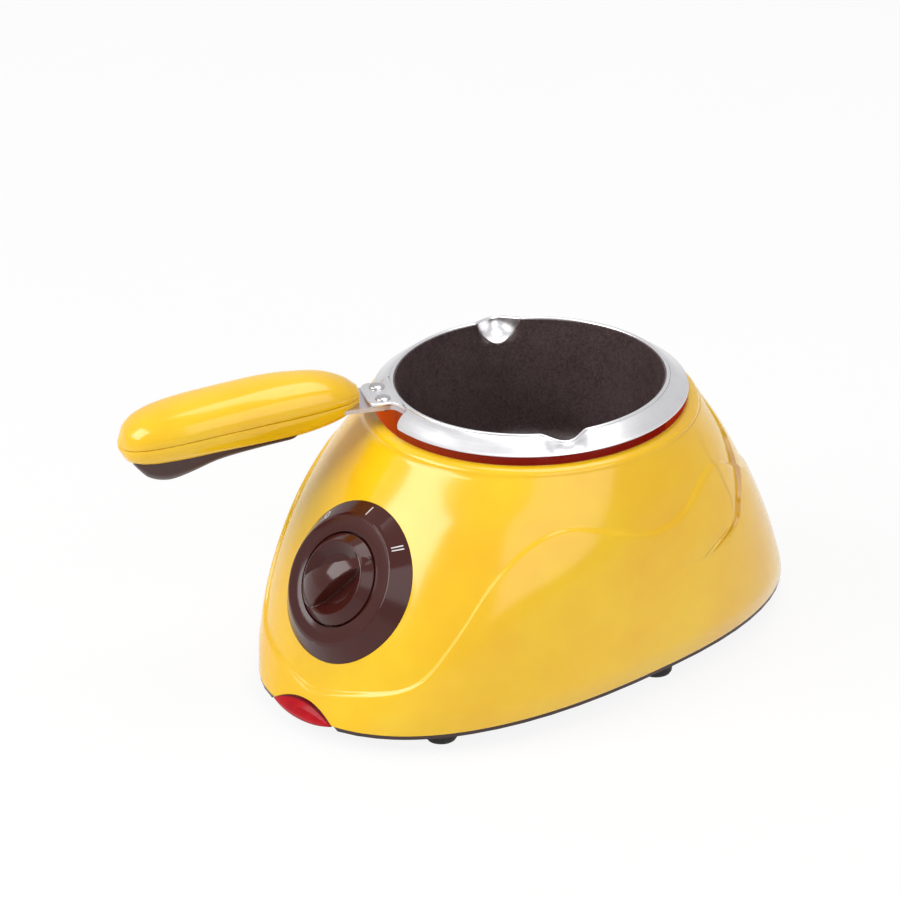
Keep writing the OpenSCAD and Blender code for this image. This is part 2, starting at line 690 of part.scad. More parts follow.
// Pot: pressed bowl with a beaded rim, a sloping flange, a riveting tab and two beaks
floor_r = pot_r - pot_taper;
corner_z = pot_floor_z + pot_corner_r;
bead_z = rim_z - bead_r;
flange_in = pot_r + 2 * bead_r;
flange_r = flange_in + flange_w;
flange_z = bead_z - bead_r / 2 - flange_drop;
notch_angle = 19;
function corner(r) =
    [for (q = [0 : 11.25 : 90]) [floor_r - pot_corner_r + r * sin(q), corner_z - r * cos(q)]];
module bowl_outline() {
    polygon(concat([[0, pot_floor_z]], corner(pot_corner_r),
        [for (q = [0 : 18 : 180]) [pot_r + bead_r * (1 - cos(q)), bead_z + bead_r * sin(q)]],
        [[pot_r + pot_wall, bead_z - bead_r]],
        [for (p = [for (i = [8 : -1 : 0]) corner(pot_corner_r + pot_wall)[i]]) p], [[0, pot_base_z]]));
}
module flange_outline() {
    polygon([[pot_r + bead_r, bead_z], [flange_in + 0.1 * flange_w, bead_z - 0.7 * bead_r],
        [flange_in + 0.6 * flange_w, bead_z - bead_r / 2 - 0.5 * flange_drop], [flange_r, flange_z],
        [flange_r - 0.4 * pot_wall, flange_z - 0.4 * pot_wall],
        [flange_in + 0.5 * flange_w, bead_z - bead_r / 2 - 0.5 * flange_drop - 0.8 * pot_wall],
        [pot_r + pot_wall / 2, bead_z - 1.7 * bead_r]]);
}
// Plan of the tab from the rim outwards: flared at the rim, rounded at its end
flare_end = pot_r + 2.4 * bead_r + flange_w / 4;
rivet_at = pot_r + 0.34 * bracket_w;
plate_end = rivet_at + 3.6 * rivet_r;
function flared(grow) = [for (q = [1 : -0.125 : 0])
    [pot_r + 0.6 * bead_r + (flare_end - pot_r) * (1 - q), bracket_w / 2 + grow + 0.3 * bracket_w * q ^ 2.5]];
tab_rounding = 2 * rivet_r;
tab_tail = bracket_w / 2;
module sided(side) {
    polygon(concat(side, [for (i = [len(side) - 1 : -1 : 0]) [side[i].x, -side[i].y]]));
}
module tab_outline() {
    sided(concat(flared(0), [for (q = [0 : 15 : 90])
        [plate_end - tab_rounding * (1 - sin(q)), (tab_tail + (bracket_w - tab_tail) * cos(q)) / 2]]));
}
module rivet_holes(z0, z1) {
    for (y = [-1, 1]) translate([rivet_at, y * rivet_pitch / 2]) rod(rivet_r + fit / 2, z0 - over, z1 + over);
}
// Space inside the bowl, out to the middle of its sheet
module bowl_space() {
    r = pot_wall / 2;
    rotate_extrude() polygon(concat([[0, pot_floor_z - r]], corner(pot_corner_r + r),
        [[pot_r + r, bead_z], [pot_r + r, rim_z + over], [0, rim_z + over]]));
}
module at_beaks() {
    for (side = [-1, 1]) rotate([0, 0, 90 * side]) children();
}
module beak_body() {
    side_x = sqrt((pot_r + bead_r) ^ 2 - (beak_w / 2) ^ 2);
    hull() {
        for (y = [-1, 1]) translate([side_x, y * beak_w / 2, bead_z]) sphere(r = bead_r, $fn = 12);
        translate([pot_r + bead_r + beak_out, 0, bead_z - bead_r / 2]) sphere(r = bead_r, $fn = 12);
        translate([pot_r - bead_r / 2, 0, bead_z - beak_h]) sphere(r = bead_r, $fn = 12);
    }
}
module beak_channel() {
    side_x = sqrt((pot_r + bead_r) ^ 2 - (beak_w / 2) ^ 2);
    tip = 0.2 * bead_r;
    hull() {
        for (y = [-1, 1], x = [-4, 0])
            translate([side_x + (x - 0.3) * bead_r, y * (beak_w / 2 - 1.6 * bead_r), rim_z + over])
                sphere(r = tip, $fn = 8);
        translate([pot_r - 0.9 * bead_r + beak_out, 0, rim_z + over]) sphere(r = tip, $fn = 8);
        translate([pot_r - bead_r, 0, bead_z - beak_h + 2.2 * bead_r]) sphere(r = tip, $fn = 8);
        translate([pot_r - 4 * bead_r, 0, bead_z - beak_h + 3 * bead_r]) sphere(r = tip, $fn = 8);
    }
}
module pot_shell() {
    color("silver") at_handle() difference() {
        union() {
            rotate_extrude() bowl_outline();
            rotate([0, 0, notch_angle]) rotate_extrude(angle = 360 - 2 * notch_angle) flange_outline();
            translate([0, 0, tab_z]) linear_extrude(pot_wall) tab_outline();
            difference() {
                at_beaks() beak_body();
                bowl_space();
            }
        }
        at_beaks() beak_channel();
        rivet_holes(tab_z, rim_z);
    }
}
// Non-stick coating over the inside, up to the rim
module pot_coating() {
    r = fit / 2;
    color("#3a2a2a") at_handle() difference() {
        rotate_extrude() polygon(concat(
            [[0, pot_floor_z + r]], [for (p = corner(pot_corner_r - r)) p],
            [[pot_r - r, bead_z], [pot_r - r - coating_t, bead_z]],
            [for (i = [8 : -1 : 0]) corner(pot_corner_r - r - coating_t)[i]],
            [[0, pot_floor_z + r + coating_t]]));
        at_beaks() beak_channel();
    }
}

// Flat metal bracket under the pot's tab, with a tongue that reaches into the handle
bracket_z = tab_z - bracket_t;
handle_in = plate_end + handle_gap;
handle_z = rim_z + bracket_t / 2;
tongue_shares = [0.07, 0.11, 0.58];
screw_shares = [0.17, 0.46];
// Plan of the bracket, grown by a gap where it is used as a cut
module bracket_plan(gap = 0) {
    reach = [for (s = tongue_shares) handle_in + s * handle_len];
    sided(concat(flared(gap - 4 * fit), [[reach[0], bracket_w / 2 - 4 * fit + gap],
        [reach[1], tongue_w / 2 + gap], [reach[2] + gap, tongue_w / 2 + gap]]));
}
module bracket_slot() {
    translate([0, 0, bracket_z - 2 * fit]) linear_extrude(bracket_t + 4 * fit) bracket_plan(2 * fit);
}
module handle_bracket() {
    color("silver") at_handle() difference() {
        translate([0, 0, bracket_z]) linear_extrude(bracket_t) bracket_plan();
        rod(flange_in + fit, bracket_z - over, tab_z + over);
        rivet_holes(bracket_z, tab_z);
        at_screws() rod(screw_r + fit, bracket_z - over, tab_z + over);
    }
}
module bracket_rivets() {
    head_r = 1.75 * rivet_r;
    head_h = 0.75 * rivet_r;
    foot_t = 0.5 * rivet_r;
    color("silver") at_handle() for (y = [-1, 1]) translate([rivet_at, y * rivet_pitch / 2, 0])
        rotate_extrude() polygon([[0, bracket_z - foot_t], [head_r, bracket_z - foot_t],
            [head_r, bracket_z], [rivet_r, bracket_z], [rivet_r, rim_z],
            for (q = [0 : 15 : 90]) [head_r * cos(q), rim_z + head_h * sin(q)]]);
}

// Handle: stations along it, then shares of its half width, half height and droop
handle_shares = [
    [0.00, 0.30, 0.28, 0.00], [0.05, 0.57, 0.56, 0.00], [0.14, 0.79, 0.81, 0.00],
    [0.27, 0.92, 0.96, 0.08], [0.39, 0.98, 1.00, 0.16], [0.58, 1.00, 0.97, 0.35],
    [0.77, 0.99, 0.92, 0.58], [0.90, 0.84, 0.80, 0.78], [0.97, 0.55, 0.54, 0.92],
    [1.00, 0.14, 0.14, 1.00]];
stations = [0, 0.02, 0.05, 0.1, 0.17, 0.27, 0.38, 0.5, 0.62, 0.74, 0.82, 0.89, 0.94, 0.98, 1];
handle_squareness = 2.3;
arc_steps = 15;
// Bulge of the finger grip along the handle
bulge_shares = [[0.27, 0.00], [0.42, 0.06], [0.60, 0.32], [0.74, 0.85], [0.81, 1.00], [0.89, 0.70],
    [0.94, 0.12], [1, 0]];
function centre_z(s) = handle_z - curve(handle_shares, s, 3) * handle_droop;
function half_w(s) = curve(handle_shares, s, 1) * handle_w / 2;
function half_h(s) = curve(handle_shares, s, 2) * handle_h / 2;
function handle_point(s, q, grow) = [handle_in + s * handle_len,
    round_power(cos(q), handle_squareness) * (half_w(s) + grow),
    centre_z(s) + round_power(sin(q), handle_squareness) * (half_h(s) + grow)];
function handle_ring(s, q0, q1, grow) =
    [for (i = [0 : arc_steps]) handle_point(s, q0 + (q1 - q0) * i / arc_steps, grow)];
// One half of the handle, closed by the parting face
module half_handle(q0, grow = 0) {
    ring_loft([for (s = stations) handle_ring(s, q0, q0 + 180, grow)]);
}
module handle_cavity() {
    ring_loft([for (i = [3 : len(stations) - 3]) let (s = stations[i])
        [for (k = [0 : 2 * arc_steps - 1]) handle_point(s, 180 * k / arc_steps, -handle_wall)]]);
}
module at_screws() {
    for (s = screw_shares) translate([handle_in + s * handle_len, 0]) children();
}
function shell_floor(s) = handle_point(s, 270, 0).z + handle_wall;
module handle_upper() {
    color("gold") at_handle() difference() {
        union() {
            difference() {
                half_handle(0);
                handle_cavity();
            }
            intersection() {
                half_handle(0);
                at_screws() rod(2 * screw_r, rim_z - handle_h, rim_z + handle_h);
            }
            at_screws() rod(2 * screw_r, tab_z + 2 * fit, handle_z);
        }
        bracket_slot();
        for (s = screw_shares) translate([handle_in + s * handle_len, 0])
            rod(screw_r, rim_z - handle_h, handle_point(s, 90, 0).z - handle_wall);
    }
}
module handle_lower() {
    color("gold") at_handle() difference() {
        union() {
            difference() {
                half_handle(180);
                handle_cavity();
            }
            intersection() {
                half_handle(180);
                at_screws() rod(2.6 * screw_r, rim_z - handle_h, bracket_z - 2 * fit);
            }
        }
        bracket_slot();
        for (s = screw_shares) translate([handle_in + s * handle_len, 0]) {
            rod(screw_r + fit, rim_z - handle_h, rim_z + handle_h);
            rod(1.9 * screw_r + fit, rim_z - 2 * handle_h, shell_floor(s));
        }
    }
}
// Finger grip: a soft insert that follows the lower shell and bulges under it
module handle_grip() {
    first = 5;
    last = len(stations) - 3;
    edge_t = handle_wall / 3;
    arc = [3 : arc_steps - 3];
    function lowered(s, q) = [0, 0, edge_t + grip_bulge * curve(bulge_shares, s, 1) * -sin(q)];
    color("#4a2f2a") at_handle() ring_loft([for (i = [first : last]) let (s = stations[i]) concat(
        [for (k = arc) let (q = 180 + 180 * k / arc_steps) handle_point(s, q, fit / 2) - lowered(s, q)],
        [for (k = [arc_steps - 3 : -1 : 3]) handle_point(s, 180 + 180 * k / arc_steps, fit / 2)])]);
}
module handle_screws() {
    color("silver") at_handle() for (s = screw_shares)
        translate([handle_in + s * handle_len, 0, shell_floor(s)])
            screw(screw_r, handle_point(s, 90, 0).z - shell_floor(s) - 1.5 * handle_wall);
}

housing();
base_plate();
rubber_feet();
base_screws();
lamp_lens();
lamp_holder();
neon_lamp();
dial_ring();
dial_screws();
control_knob();
switch_shaft();
rotary_switch();
switch_terminals();
heater_plate();
heater_screws();
heating_element();
insulation_disc();
clamp_plate();
clamp_nuts();
thermostat();
thermal_fuse();
fuse_clip();
terminal_block();
cord_gland();
cord_clamp();
clamp_screws();
pot_shell();
pot_coating();
handle_bracket();
bracket_rivets();
handle_upper();
handle_lower();
handle_grip();
handle_screws();
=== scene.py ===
"""Looks of the melting pot: finer shapes, materials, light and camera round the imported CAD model.

Shapes are worked out in millimetres in the CAD frame: the pot's axis is x = y = 0, the table is
z = 0 and the dial faces -Y. The named sizes repeat those of the CAD source.
"""

import math

import bpy
import numpy as np
from mathutils import Matrix, Vector


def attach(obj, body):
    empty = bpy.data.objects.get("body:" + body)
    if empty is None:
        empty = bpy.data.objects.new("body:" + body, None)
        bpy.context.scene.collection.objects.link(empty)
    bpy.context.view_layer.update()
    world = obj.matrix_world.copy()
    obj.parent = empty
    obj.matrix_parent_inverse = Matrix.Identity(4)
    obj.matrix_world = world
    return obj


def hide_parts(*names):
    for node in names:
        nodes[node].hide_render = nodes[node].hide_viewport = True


MM = 0.001

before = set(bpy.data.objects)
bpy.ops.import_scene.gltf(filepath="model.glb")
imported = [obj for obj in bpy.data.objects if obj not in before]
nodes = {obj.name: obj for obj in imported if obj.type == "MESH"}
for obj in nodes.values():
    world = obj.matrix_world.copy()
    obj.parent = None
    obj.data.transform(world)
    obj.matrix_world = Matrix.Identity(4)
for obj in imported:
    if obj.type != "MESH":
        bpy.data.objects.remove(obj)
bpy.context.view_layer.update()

# Sizes of the CAD source
BODY_W, BODY_FRONT, BODY_REAR, BODY_TOP = 132.0, 105.0, 93.0, 85.0
BODY_WALL, SKIRT_PROUD, LIP_W, LIP_H = 2.4, 0.9, 5.0, 2.4
WELL_R, POT_R, POT_WALL = 51.0, 45.0, 1.2
POT_DEPTH, POT_TAPER, POT_CORNER_R, COATING_T = 46.0, 3.0, 9.0, 0.3
BEAK_W, BEAK_OUT, BEAK_H = 16.0, 4.6, 8.0
HANDLE_TURN, HANDLE_IN, HANDLE_LEN = 29.0, 58.48, 80.0
HANDLE_W, HANDLE_H, HANDLE_DROOP, GRIP_BULGE = 26.0, 20.8, 8.0, 6.0
BRACKET_T, BRACKET_W, RIVET_R, RIVET_PITCH = 1.5, 17.0, 1.5, 9.6
DIAL_Z, DIAL_R, DIAL_RISE, DIAL_SEAT = 47.0, 27.0, 3.0, 4.8
KNOB_R, KNOB_GAP, KNOB_RISE, DIAL_STEP = 15.3, 0.6, 6.6, 45.0
EDGE_Z, RIM_Z, HEATER_Z, LEDGE_R, LEDGE_Z = 6.3, 93.3, 43.0, 38.5, 40.6
LENS_W, LENS_H, LENS_BULGE = 29.0, 4.7, 1.6

# Thinner bead and shallower flange than the CAD source has
BEAD_R, FLANGE_W, FLANGE_DROP = 0.7, 6.0, 3.7

TOP_R = WELL_R + LIP_W
LOFT_TOP = BODY_TOP - LIP_H
LOFT_H = LOFT_TOP - EDGE_Z

SECTION_SHARES = [
    (0.00, 0.48, 1.000, 1.000, 2.40),
    (0.12, 0.80, 0.895, 0.825, 2.60),
    (0.35, 1.00, 0.745, 0.612, 2.60),
    (0.60, 0.98, 0.510, 0.370, 2.50),
    (0.82, 0.58, 0.275, 0.205, 2.20),
    (1.00, 0.00, 0.000, 0.000, 2.00),
]
WAVE_SHARES = [
    (0, 0.100), (12, 0.150), (24, 0.195), (30, 0.245), (34, 0.330), (38, 0.470), (41, 0.590),
    (45, 0.680), (51, 0.760), (58, 0.803), (66, 0.800), (76, 0.760), (88, 0.697), (94, 0.718),
    (104, 0.795), (113, 0.832), (120, 0.806), (129, 0.730), (145, 0.640), (180, 0.600),
]
CREASE_SHARES = [
    (0.495, 98.0, 101.5, 0.05), (0.53, 105.0, 109.5, 0.50), (0.55, 110.0, 114.1, 0.60),
    (0.62, 114.0, 119.2, 0.70), (0.66, 115.1, 124.0, 0.85), (0.71, 115.3, 130.3, 1.00),
    (0.76, 115.6, 135.1, 0.90), (0.81, 115.9, 140.0, 0.70), (0.87, 116.5, 143.0, 0.45),
    (0.94, 117.3, 145.0, 0.20), (1.00, 118.0, 146.0, 0.00),
]
HANDLE_SHARES = [
    (0.00, 0.30, 0.28, 0.00), (0.05, 0.57, 0.56, 0.00), (0.14, 0.79, 0.81, 0.00),
    (0.27, 0.92, 0.96, 0.08), (0.39, 0.98, 1.00, 0.16), (0.58, 1.00, 0.97, 0.35),
    (0.77, 0.99, 0.92, 0.58), (0.90, 0.84, 0.80, 0.78), (0.97, 0.55, 0.54, 0.92),
    (1.00, 0.14, 0.14, 1.00),
]
BULGE_SHARES = [
    (0.27, 0.00), (0.42, 0.06), (0.60, 0.32), (0.74, 0.85), (0.81, 1.00), (0.89, 0.70),
    (0.94, 0.12), (1.00, 0.00),
]
HANDLE_SQUARENESS = 2.3


def curve(table, x, column):
    """Smooth curve through a table's rows, first column against one of the others."""
    rows = np.array(table, float)
    key, val = rows[:, 0], rows[:, column]
    last = len(key) - 1
    before, after = np.maximum(np.arange(last + 1) - 1, 0), np.minimum(np.arange(last + 1) + 1, last)
    slope = (val[after] - val[before]) / (key[after] - key[before])
    x = np.asarray(x, float)
    i = np.clip(np.searchsorted(key, x, side="right") - 1, 0, last - 1)
    h = key[i + 1] - key[i]
    t = (x - key[i]) / h
    return (val[i] * (1 + 2 * t) * (1 - t) ** 2 + slope[i] * h * t * (1 - t) ** 2
            + val[i + 1] * t ** 2 * (3 - 2 * t) + slope[i + 1] * h * t ** 2 * (t - 1))


def smooth(x, low, high):
    """0 below low, 1 above high and a soft climb between."""
    t = np.clip((np.asarray(x, float) - low) / (high - low), 0, 1)
    return t * t * (3 - 2 * t)


def round_power(v, n):
    return np.sign(v) * np.abs(v) ** (2 / n)


# Meshes


def add_mesh(name, verts, faces, material, body, slot, replaces=(), sharp=32, seam=None):
    """A piece from points in millimetres, shaded smooth up to an angle, riding on its body.

    Painted shade: each point gets a share from 0 to 1 of how far it lies in a crease or at a rim, and the
    material darkens its colour by it as painted shade.
    """
    mesh = bpy.data.meshes.new(name)
    mesh.from_pydata([tuple(v) for v in np.asarray(verts, float) * MM], [], faces)
    mesh.validate()
    mesh.polygons.foreach_set("use_smooth", [True] * len(mesh.polygons))
    mesh.set_sharp_from_angle(angle=math.radians(sharp))
    mesh.update()
    if seam is not None:
        shares = mesh.attributes.new("seam", "FLOAT", "POINT")
        shares.data.foreach_set("value", np.ravel(seam).astype(np.float32))
    obj = bpy.data.objects.new(name, mesh)
    bpy.context.scene.collection.objects.link(obj)
    obj.data.materials.append(material)
    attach(obj, body)
    if replaces:
        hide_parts(*replaces)
    return obj


def grid_faces(rows, cols, round_cols=True, round_rows=False, first=0):
    faces = []
    for j in range(rows if round_rows else rows - 1):
        k = (j + 1) % rows
        for i in range(cols if round_cols else cols - 1):
            n = (i + 1) % cols
            low, high = first + j * cols, first + k * cols
            faces.append((low + i, low + n, high + n, high + i))
    return faces


class Build:
    """Gathers grids of points into one mesh."""

    def __init__(self):
        self.verts, self.faces = [], []

    def grid(self, rings, round_cols=True, round_rows=False, cap_first=False, cap_last=False):
        rings = np.asarray(rings, float)
        rows, cols = rings.shape[:2]
        first = len(self.verts)
        self.verts.extend(rings.reshape(-1, 3))
        self.faces += grid_faces(rows, cols, round_cols, round_rows, first)
        if cap_first:
            self.faces.append(tuple(range(first + cols - 1, first - 1, -1)))
        if cap_last:
            self.faces.append(tuple(range(first + (rows - 1) * cols, first + rows * cols)))
        return self

    def lathe(self, profile, cols=128, matrix=None):
        """A turned shape from (radius, z) points; a point on the axis closes it."""
        angles = np.linspace(0, 2 * np.pi, cols, endpoint=False)
        tiny = 1e-3
        rings = []
        for r, z in profile:
            r = max(r, tiny)
            rings.append([(r * math.cos(a), r * math.sin(a), z) for a in angles])
        start = len(self.verts)
        self.grid(rings, cap_first=profile[0][0] < tiny, cap_last=profile[-1][0] < tiny)
        if matrix is not None:
            self.move(matrix, start)
        return self

    def move(self, matrix, start=0):
        m = np.array(matrix, float)
        pts = np.array(self.verts[start:], float)
        self.verts[start:] = list(pts @ m[:3, :3].T + m[:3, 3])
        return self

    def piece(self, name, *args, **kwargs):
        return add_mesh(name, self.verts, self.faces, *args, **kwargs)


def turned(angle, axis="Z"):
    return Matrix.Rotation(math.radians(angle), 4, axis)


# Materials


# Painted light: strength of the orange-red emission that stands in for light and shade inside the well.
PAINTED_GLOW_STRENGTH = 0.5
# Painted shade: how far the darker colour takes over along the creases.
PAINTED_SHADE_SHARE = 0.75


class Look:
    """A node material built round one Principled shader."""

    def __init__(self, name, **sockets):
        self.mat = bpy.data.materials.new(name)
        self.mat.use_nodes = True
        self.tree = self.mat.node_tree
        self.shader = next(n for n in self.tree.nodes if n.type == "BSDF_PRINCIPLED")
        for key, value in sockets.items():
            self.shader.inputs[key.replace("_", " ").title().replace("Ior", "IOR")].default_value = value
        self.place = self.add("ShaderNodeTexCoord").outputs["Object"]

    def add(self, kind, links=(), **values):
        node = self.tree.nodes.new(kind)
        for key, value in values.items():
            if hasattr(node, key):
                setattr(node, key, value)
            else:
                node.inputs[key].default_value = value
        for socket, source in dict(links).items():
            self.tree.links.new(source, node.inputs[socket])
        return node

    def noise(self, size_mm, detail=3.0, rough=0.55, place=None):
        """Noise whose grains are about this many millimetres across."""
        node = self.add("ShaderNodeTexNoise", {"Vector": place or self.place}, Scale=1 / (size_mm * MM),
                        Detail=detail, Roughness=rough)
        return node.outputs["Fac"]

    def stretch(self, x, y, z):
        node = self.add("ShaderNodeVectorMath", {0: self.place}, operation="MULTIPLY")
        node.inputs[1].default_value = (x, y, z)
        return node.outputs[0]

    def ranged(self, value, low, high, start=0.3, end=0.7):
        node = self.add("ShaderNodeMapRange", {"Value": value})
        for key, number in (("From Min", start), ("From Max", end), ("To Min", low), ("To Max", high)):
            node.inputs[key].default_value = number
        return node.outputs["Result"]

    def math(self, operation, a, b=None):
        node = self.add("ShaderNodeMath", operation=operation)
        for k, v in enumerate((a, b)):
            if isinstance(v, (int, float)):
                node.inputs[k].default_value = v
            elif v is not None:
                self.tree.links.new(v, node.inputs[k])
        return node.outputs[0]

    def tint(self, factor, dark, light):
        """Base colour between two colours, by a factor from 0 to 1."""
        ramp = self.add("ShaderNodeValToRGB", {"Fac": factor})
        ramp.color_ramp.elements[0].color = (*dark, 1)
        ramp.color_ramp.elements[1].color = (*light, 1)
        self.tree.links.new(ramp.outputs["Color"], self.shader.inputs["Base Color"])
        return self

    def roughness(self, value):
        self.tree.links.new(value, self.shader.inputs["Roughness"])
        return self

    def paint_shade(self, colour, share):
        """Painted shade: turns the base colour towards a darker one by the mesh's painted shade shares."""
        tone = self.shader.inputs["Base Color"]
        mask = self.add("ShaderNodeAttribute", attribute_name="seam").outputs["Fac"]
        mask = self.math("MULTIPLY", mask, share)
        mix = self.add("ShaderNodeMix", data_type="RGBA")
        self.tree.links.new(mask, mix.inputs[0])
        self.tree.links.new(tone.links[0].from_socket, mix.inputs[6])
        mix.inputs[7].default_value = (*colour, 1)
        self.tree.links.new(mix.outputs[2], tone)
        return self

    def bump(self, height, depth_mm, strength=1.0):
        old = self.shader.inputs["Normal"].links
        links = {"Height": height}
        if old:
            links["Normal"] = old[0].from_socket
        node = self.add("ShaderNodeBump", links, Strength=strength, Distance=depth_mm * MM)
        self.tree.links.new(node.outputs["Normal"], self.shader.inputs["Normal"])
        return self


def srgb(text):
    """Linear colour from a screen colour written as six hexadecimal digits."""
    parts = [int(text[i : i + 2], 16) / 255 for i in (0, 2, 4)]
    return tuple(c / 12.92 if c <= 0.04045 else ((c + 0.055) / 1.055) ** 2.4 for c in parts)


def distance(look):
    """Distance from the pot's axis."""
    parts = look.add("ShaderNodeSeparateXYZ", {0: look.place})
    x, y = parts.outputs["X"], parts.outputs["Y"]
    return look.math("SQRT", look.math("ADD", look.math("MULTIPLY", x, x), look.math("MULTIPLY", y, y)))


def ring_place(look):
    """Coordinates that lay noise out in rings round the pot's axis."""
    parts = look.add("ShaderNodeSeparateXYZ", {0: look.place})
    both = look.add("ShaderNodeCombineXYZ", {"X": distance(look), "Y": parts.outputs["Z"]})
    return both.outputs["Vector"]


def moulded(name, dark, light, rough=(0.16, 0.24), grain=0.5, depth=0.004, painted_glow=None, seam=None, **sockets):
    """Moulded plastic: cloudy colour, fine orange peel and faint handling marks in its gloss.

    The two orange-red colours go to the left and right of the well's inside as painted light and shade, set
    as base colour and emission, standing in for light that soaks through the plastic and bounces round the
    well; the painted shade colour darkens the recess's lines.
    """
    look = Look(name, **sockets)
    tone = look.tint(look.ranged(look.noise(38), 0, 1), srgb(dark), srgb(light)).shader.inputs["Base Color"]
    # Painted light and shade: inside the well the colour turns orange-red, lighter on the left and darker on
    # the right, and emits.
    if painted_glow:
        inside = look.math("LESS_THAN", distance(look), (WELL_R + 0.9) * MM)
        parts = look.add("ShaderNodeSeparateXYZ", {0: look.place})
        painted_glow_ramp = look.add("ShaderNodeValToRGB", {"Fac": look.ranged(parts.outputs["X"], 0, 1, -0.03, 0.03)})
        for element, colour in zip(painted_glow_ramp.color_ramp.elements, painted_glow):
            element.color = (*srgb(colour), 1)
        mix = look.add("ShaderNodeMix", data_type="RGBA")
        look.tree.links.new(inside, mix.inputs[0])
        look.tree.links.new(tone.links[0].from_socket, mix.inputs[6])
        look.tree.links.new(painted_glow_ramp.outputs["Color"], mix.inputs[7])
        look.tree.links.new(mix.outputs[2], tone)
        look.tree.links.new(painted_glow_ramp.outputs["Color"], look.shader.inputs["Emission Color"])
        strength = look.math("MULTIPLY", inside, PAINTED_GLOW_STRENGTH)
        look.tree.links.new(strength, look.shader.inputs["Emission Strength"])
    # Painted shade: the colour darkens where the mesh's painted shade shares say.
    if seam:
        look.paint_shade(srgb(seam), PAINTED_SHADE_SHARE)
    smudge = look.noise(9, 4, 0.6)
    fine = look.noise(0.35, 2)
    mix = look.math("ADD", look.math("MULTIPLY", smudge, 0.8), look.math("MULTIPLY", fine, 0.2))
    look.roughness(look.ranged(mix, *rough))
    look.bump(look.noise(grain, 2), depth)
    look.bump(look.noise(14, 1), 0.02, 0.5)
    return look.mat


def spun_metal(name, dark, light, rough=(0.18, 0.32), ring=0.7, depth=0.0004, **sockets):
    """Spun sheet metal: fine rings round the pot's axis under soft blotches of wear."""
    look = Look(name, metallic=1.0, **sockets)
    rings = look.noise(ring, 2, 0.6, ring_place(look))
    wear = look.noise(6, 4, 0.6)
    mix = look.math("ADD", look.math("MULTIPLY", rings, 0.6), look.math("MULTIPLY", wear, 0.4))
    look.tint(look.ranged(mix, 0, 1), srgb(dark), srgb(light))
    look.roughness(look.ranged(mix, *rough))
    look.bump(rings, depth)
    return look.mat


def plain_metal(name, dark, light, rough=(0.22, 0.4), grain=(1, 1, 1), **sockets):
    """Sheet or turned metal with a drawn grain and small dings."""
    look = Look(name, metallic=1.0, **sockets)
    drawn = look.noise(0.5, 3, 0.6, look.stretch(*grain))
    mix = look.math("ADD", look.math("MULTIPLY", drawn, 0.5), look.math("MULTIPLY", look.noise(4, 3), 0.5))
    look.tint(look.ranged(mix, 0, 1), srgb(dark), srgb(light))
    look.roughness(look.ranged(mix, *rough))
    look.bump(drawn, 0.004)
    return look.mat


def powdery(name, dark, light, rough=(0.55, 0.75), grain=0.4, depth=0.02, **sockets):
    """Matt sheet, ceramic or rubber with a fine tooth."""
    look = Look(name, **sockets)
    look.tint(look.ranged(look.noise(5, 4, 0.65), 0, 1), srgb(dark), srgb(light))
    look.roughness(look.ranged(look.noise(1.5, 3), *rough))
    look.bump(look.noise(grain, 3), depth)
    return look.mat


# Yellow plastic with painted orange-red light and shade inside the well and a painted amber shade along the
# side recess's lines.
YELLOW = moulded("yellow_plastic", "efb70d", "f5c818", rough=(0.14, 0.22), painted_glow=("c45216", "a01e08"),
                 seam="9a6200", coat_weight=0.2, coat_roughness=0.06)
BROWN = moulded("brown_plastic", "3a130f", "441a15", rough=(0.08, 0.15), specular_ior_level=0.36)
GRIP = moulded("soft_brown", "38201d", "452823", rough=(0.36, 0.5), grain=0.4, depth=0.01)
EDGE_BROWN = moulded("base_brown", "332321", "3f2c28", rough=(0.3, 0.42), grain=0.6, depth=0.01)
RUBBER = powdery("rubber", "141212", "201d1c", rough=(0.6, 0.8))
ALUMINIUM = spun_metal("bright_aluminium", "dedde0", "ecebed", rough=(0.26, 0.34))
RIVET_METAL = spun_metal("rivet_metal", "b9b6b9", "d2d0d2", rough=(0.16, 0.24))
STEEL = plain_metal("plain_steel", "a9a9ab", "c9c9cc")
TAB_STEEL = spun_metal("bracket_steel", "c4bcc0", "d2cacd", rough=(0.3, 0.4))
HEATER = spun_metal("heater_aluminium", "b9b9ba", "d6d6d8", rough=(0.3, 0.5), ring=0.4, depth=0.01)
BRASS = plain_metal("brass", "b08a3f", "d8b466")
MOULDING = powdery("pale_moulding", "d8d0bb", "e8e1cf", rough=(0.4, 0.55), depth=0.01)
INSULATION = powdery("pressed_insulation", "bfa985", "d3bf9c", rough=(0.7, 0.9))
DARK = powdery("dark_moulding", "1d1d1f", "2a2a2c", rough=(0.4, 0.55), depth=0.01)
MARK = powdery("mark_paint", "cfc9cb", "e4dfe1", rough=(0.35, 0.5), depth=0.004)


def coating_look():
    """Non-stick coating: near-black brown with a fine mottle and a soft sheen."""
    look = Look("coating", specular_ior_level=0.6)
    mottle = look.ranged(look.noise(0.8, 3), 0, 1, 0.35, 0.65)
    cloud = look.math("MULTIPLY", look.noise(12, 4), 0.5)
    look.tint(look.math("ADD", cloud, look.math("MULTIPLY", mottle, 0.4)), srgb("2b1e1d"), srgb("6c5a5a"))
    look.roughness(look.ranged(look.noise(3, 3), 0.26, 0.36))
    look.bump(look.noise(0.9, 2), 0.008)
    return look.mat


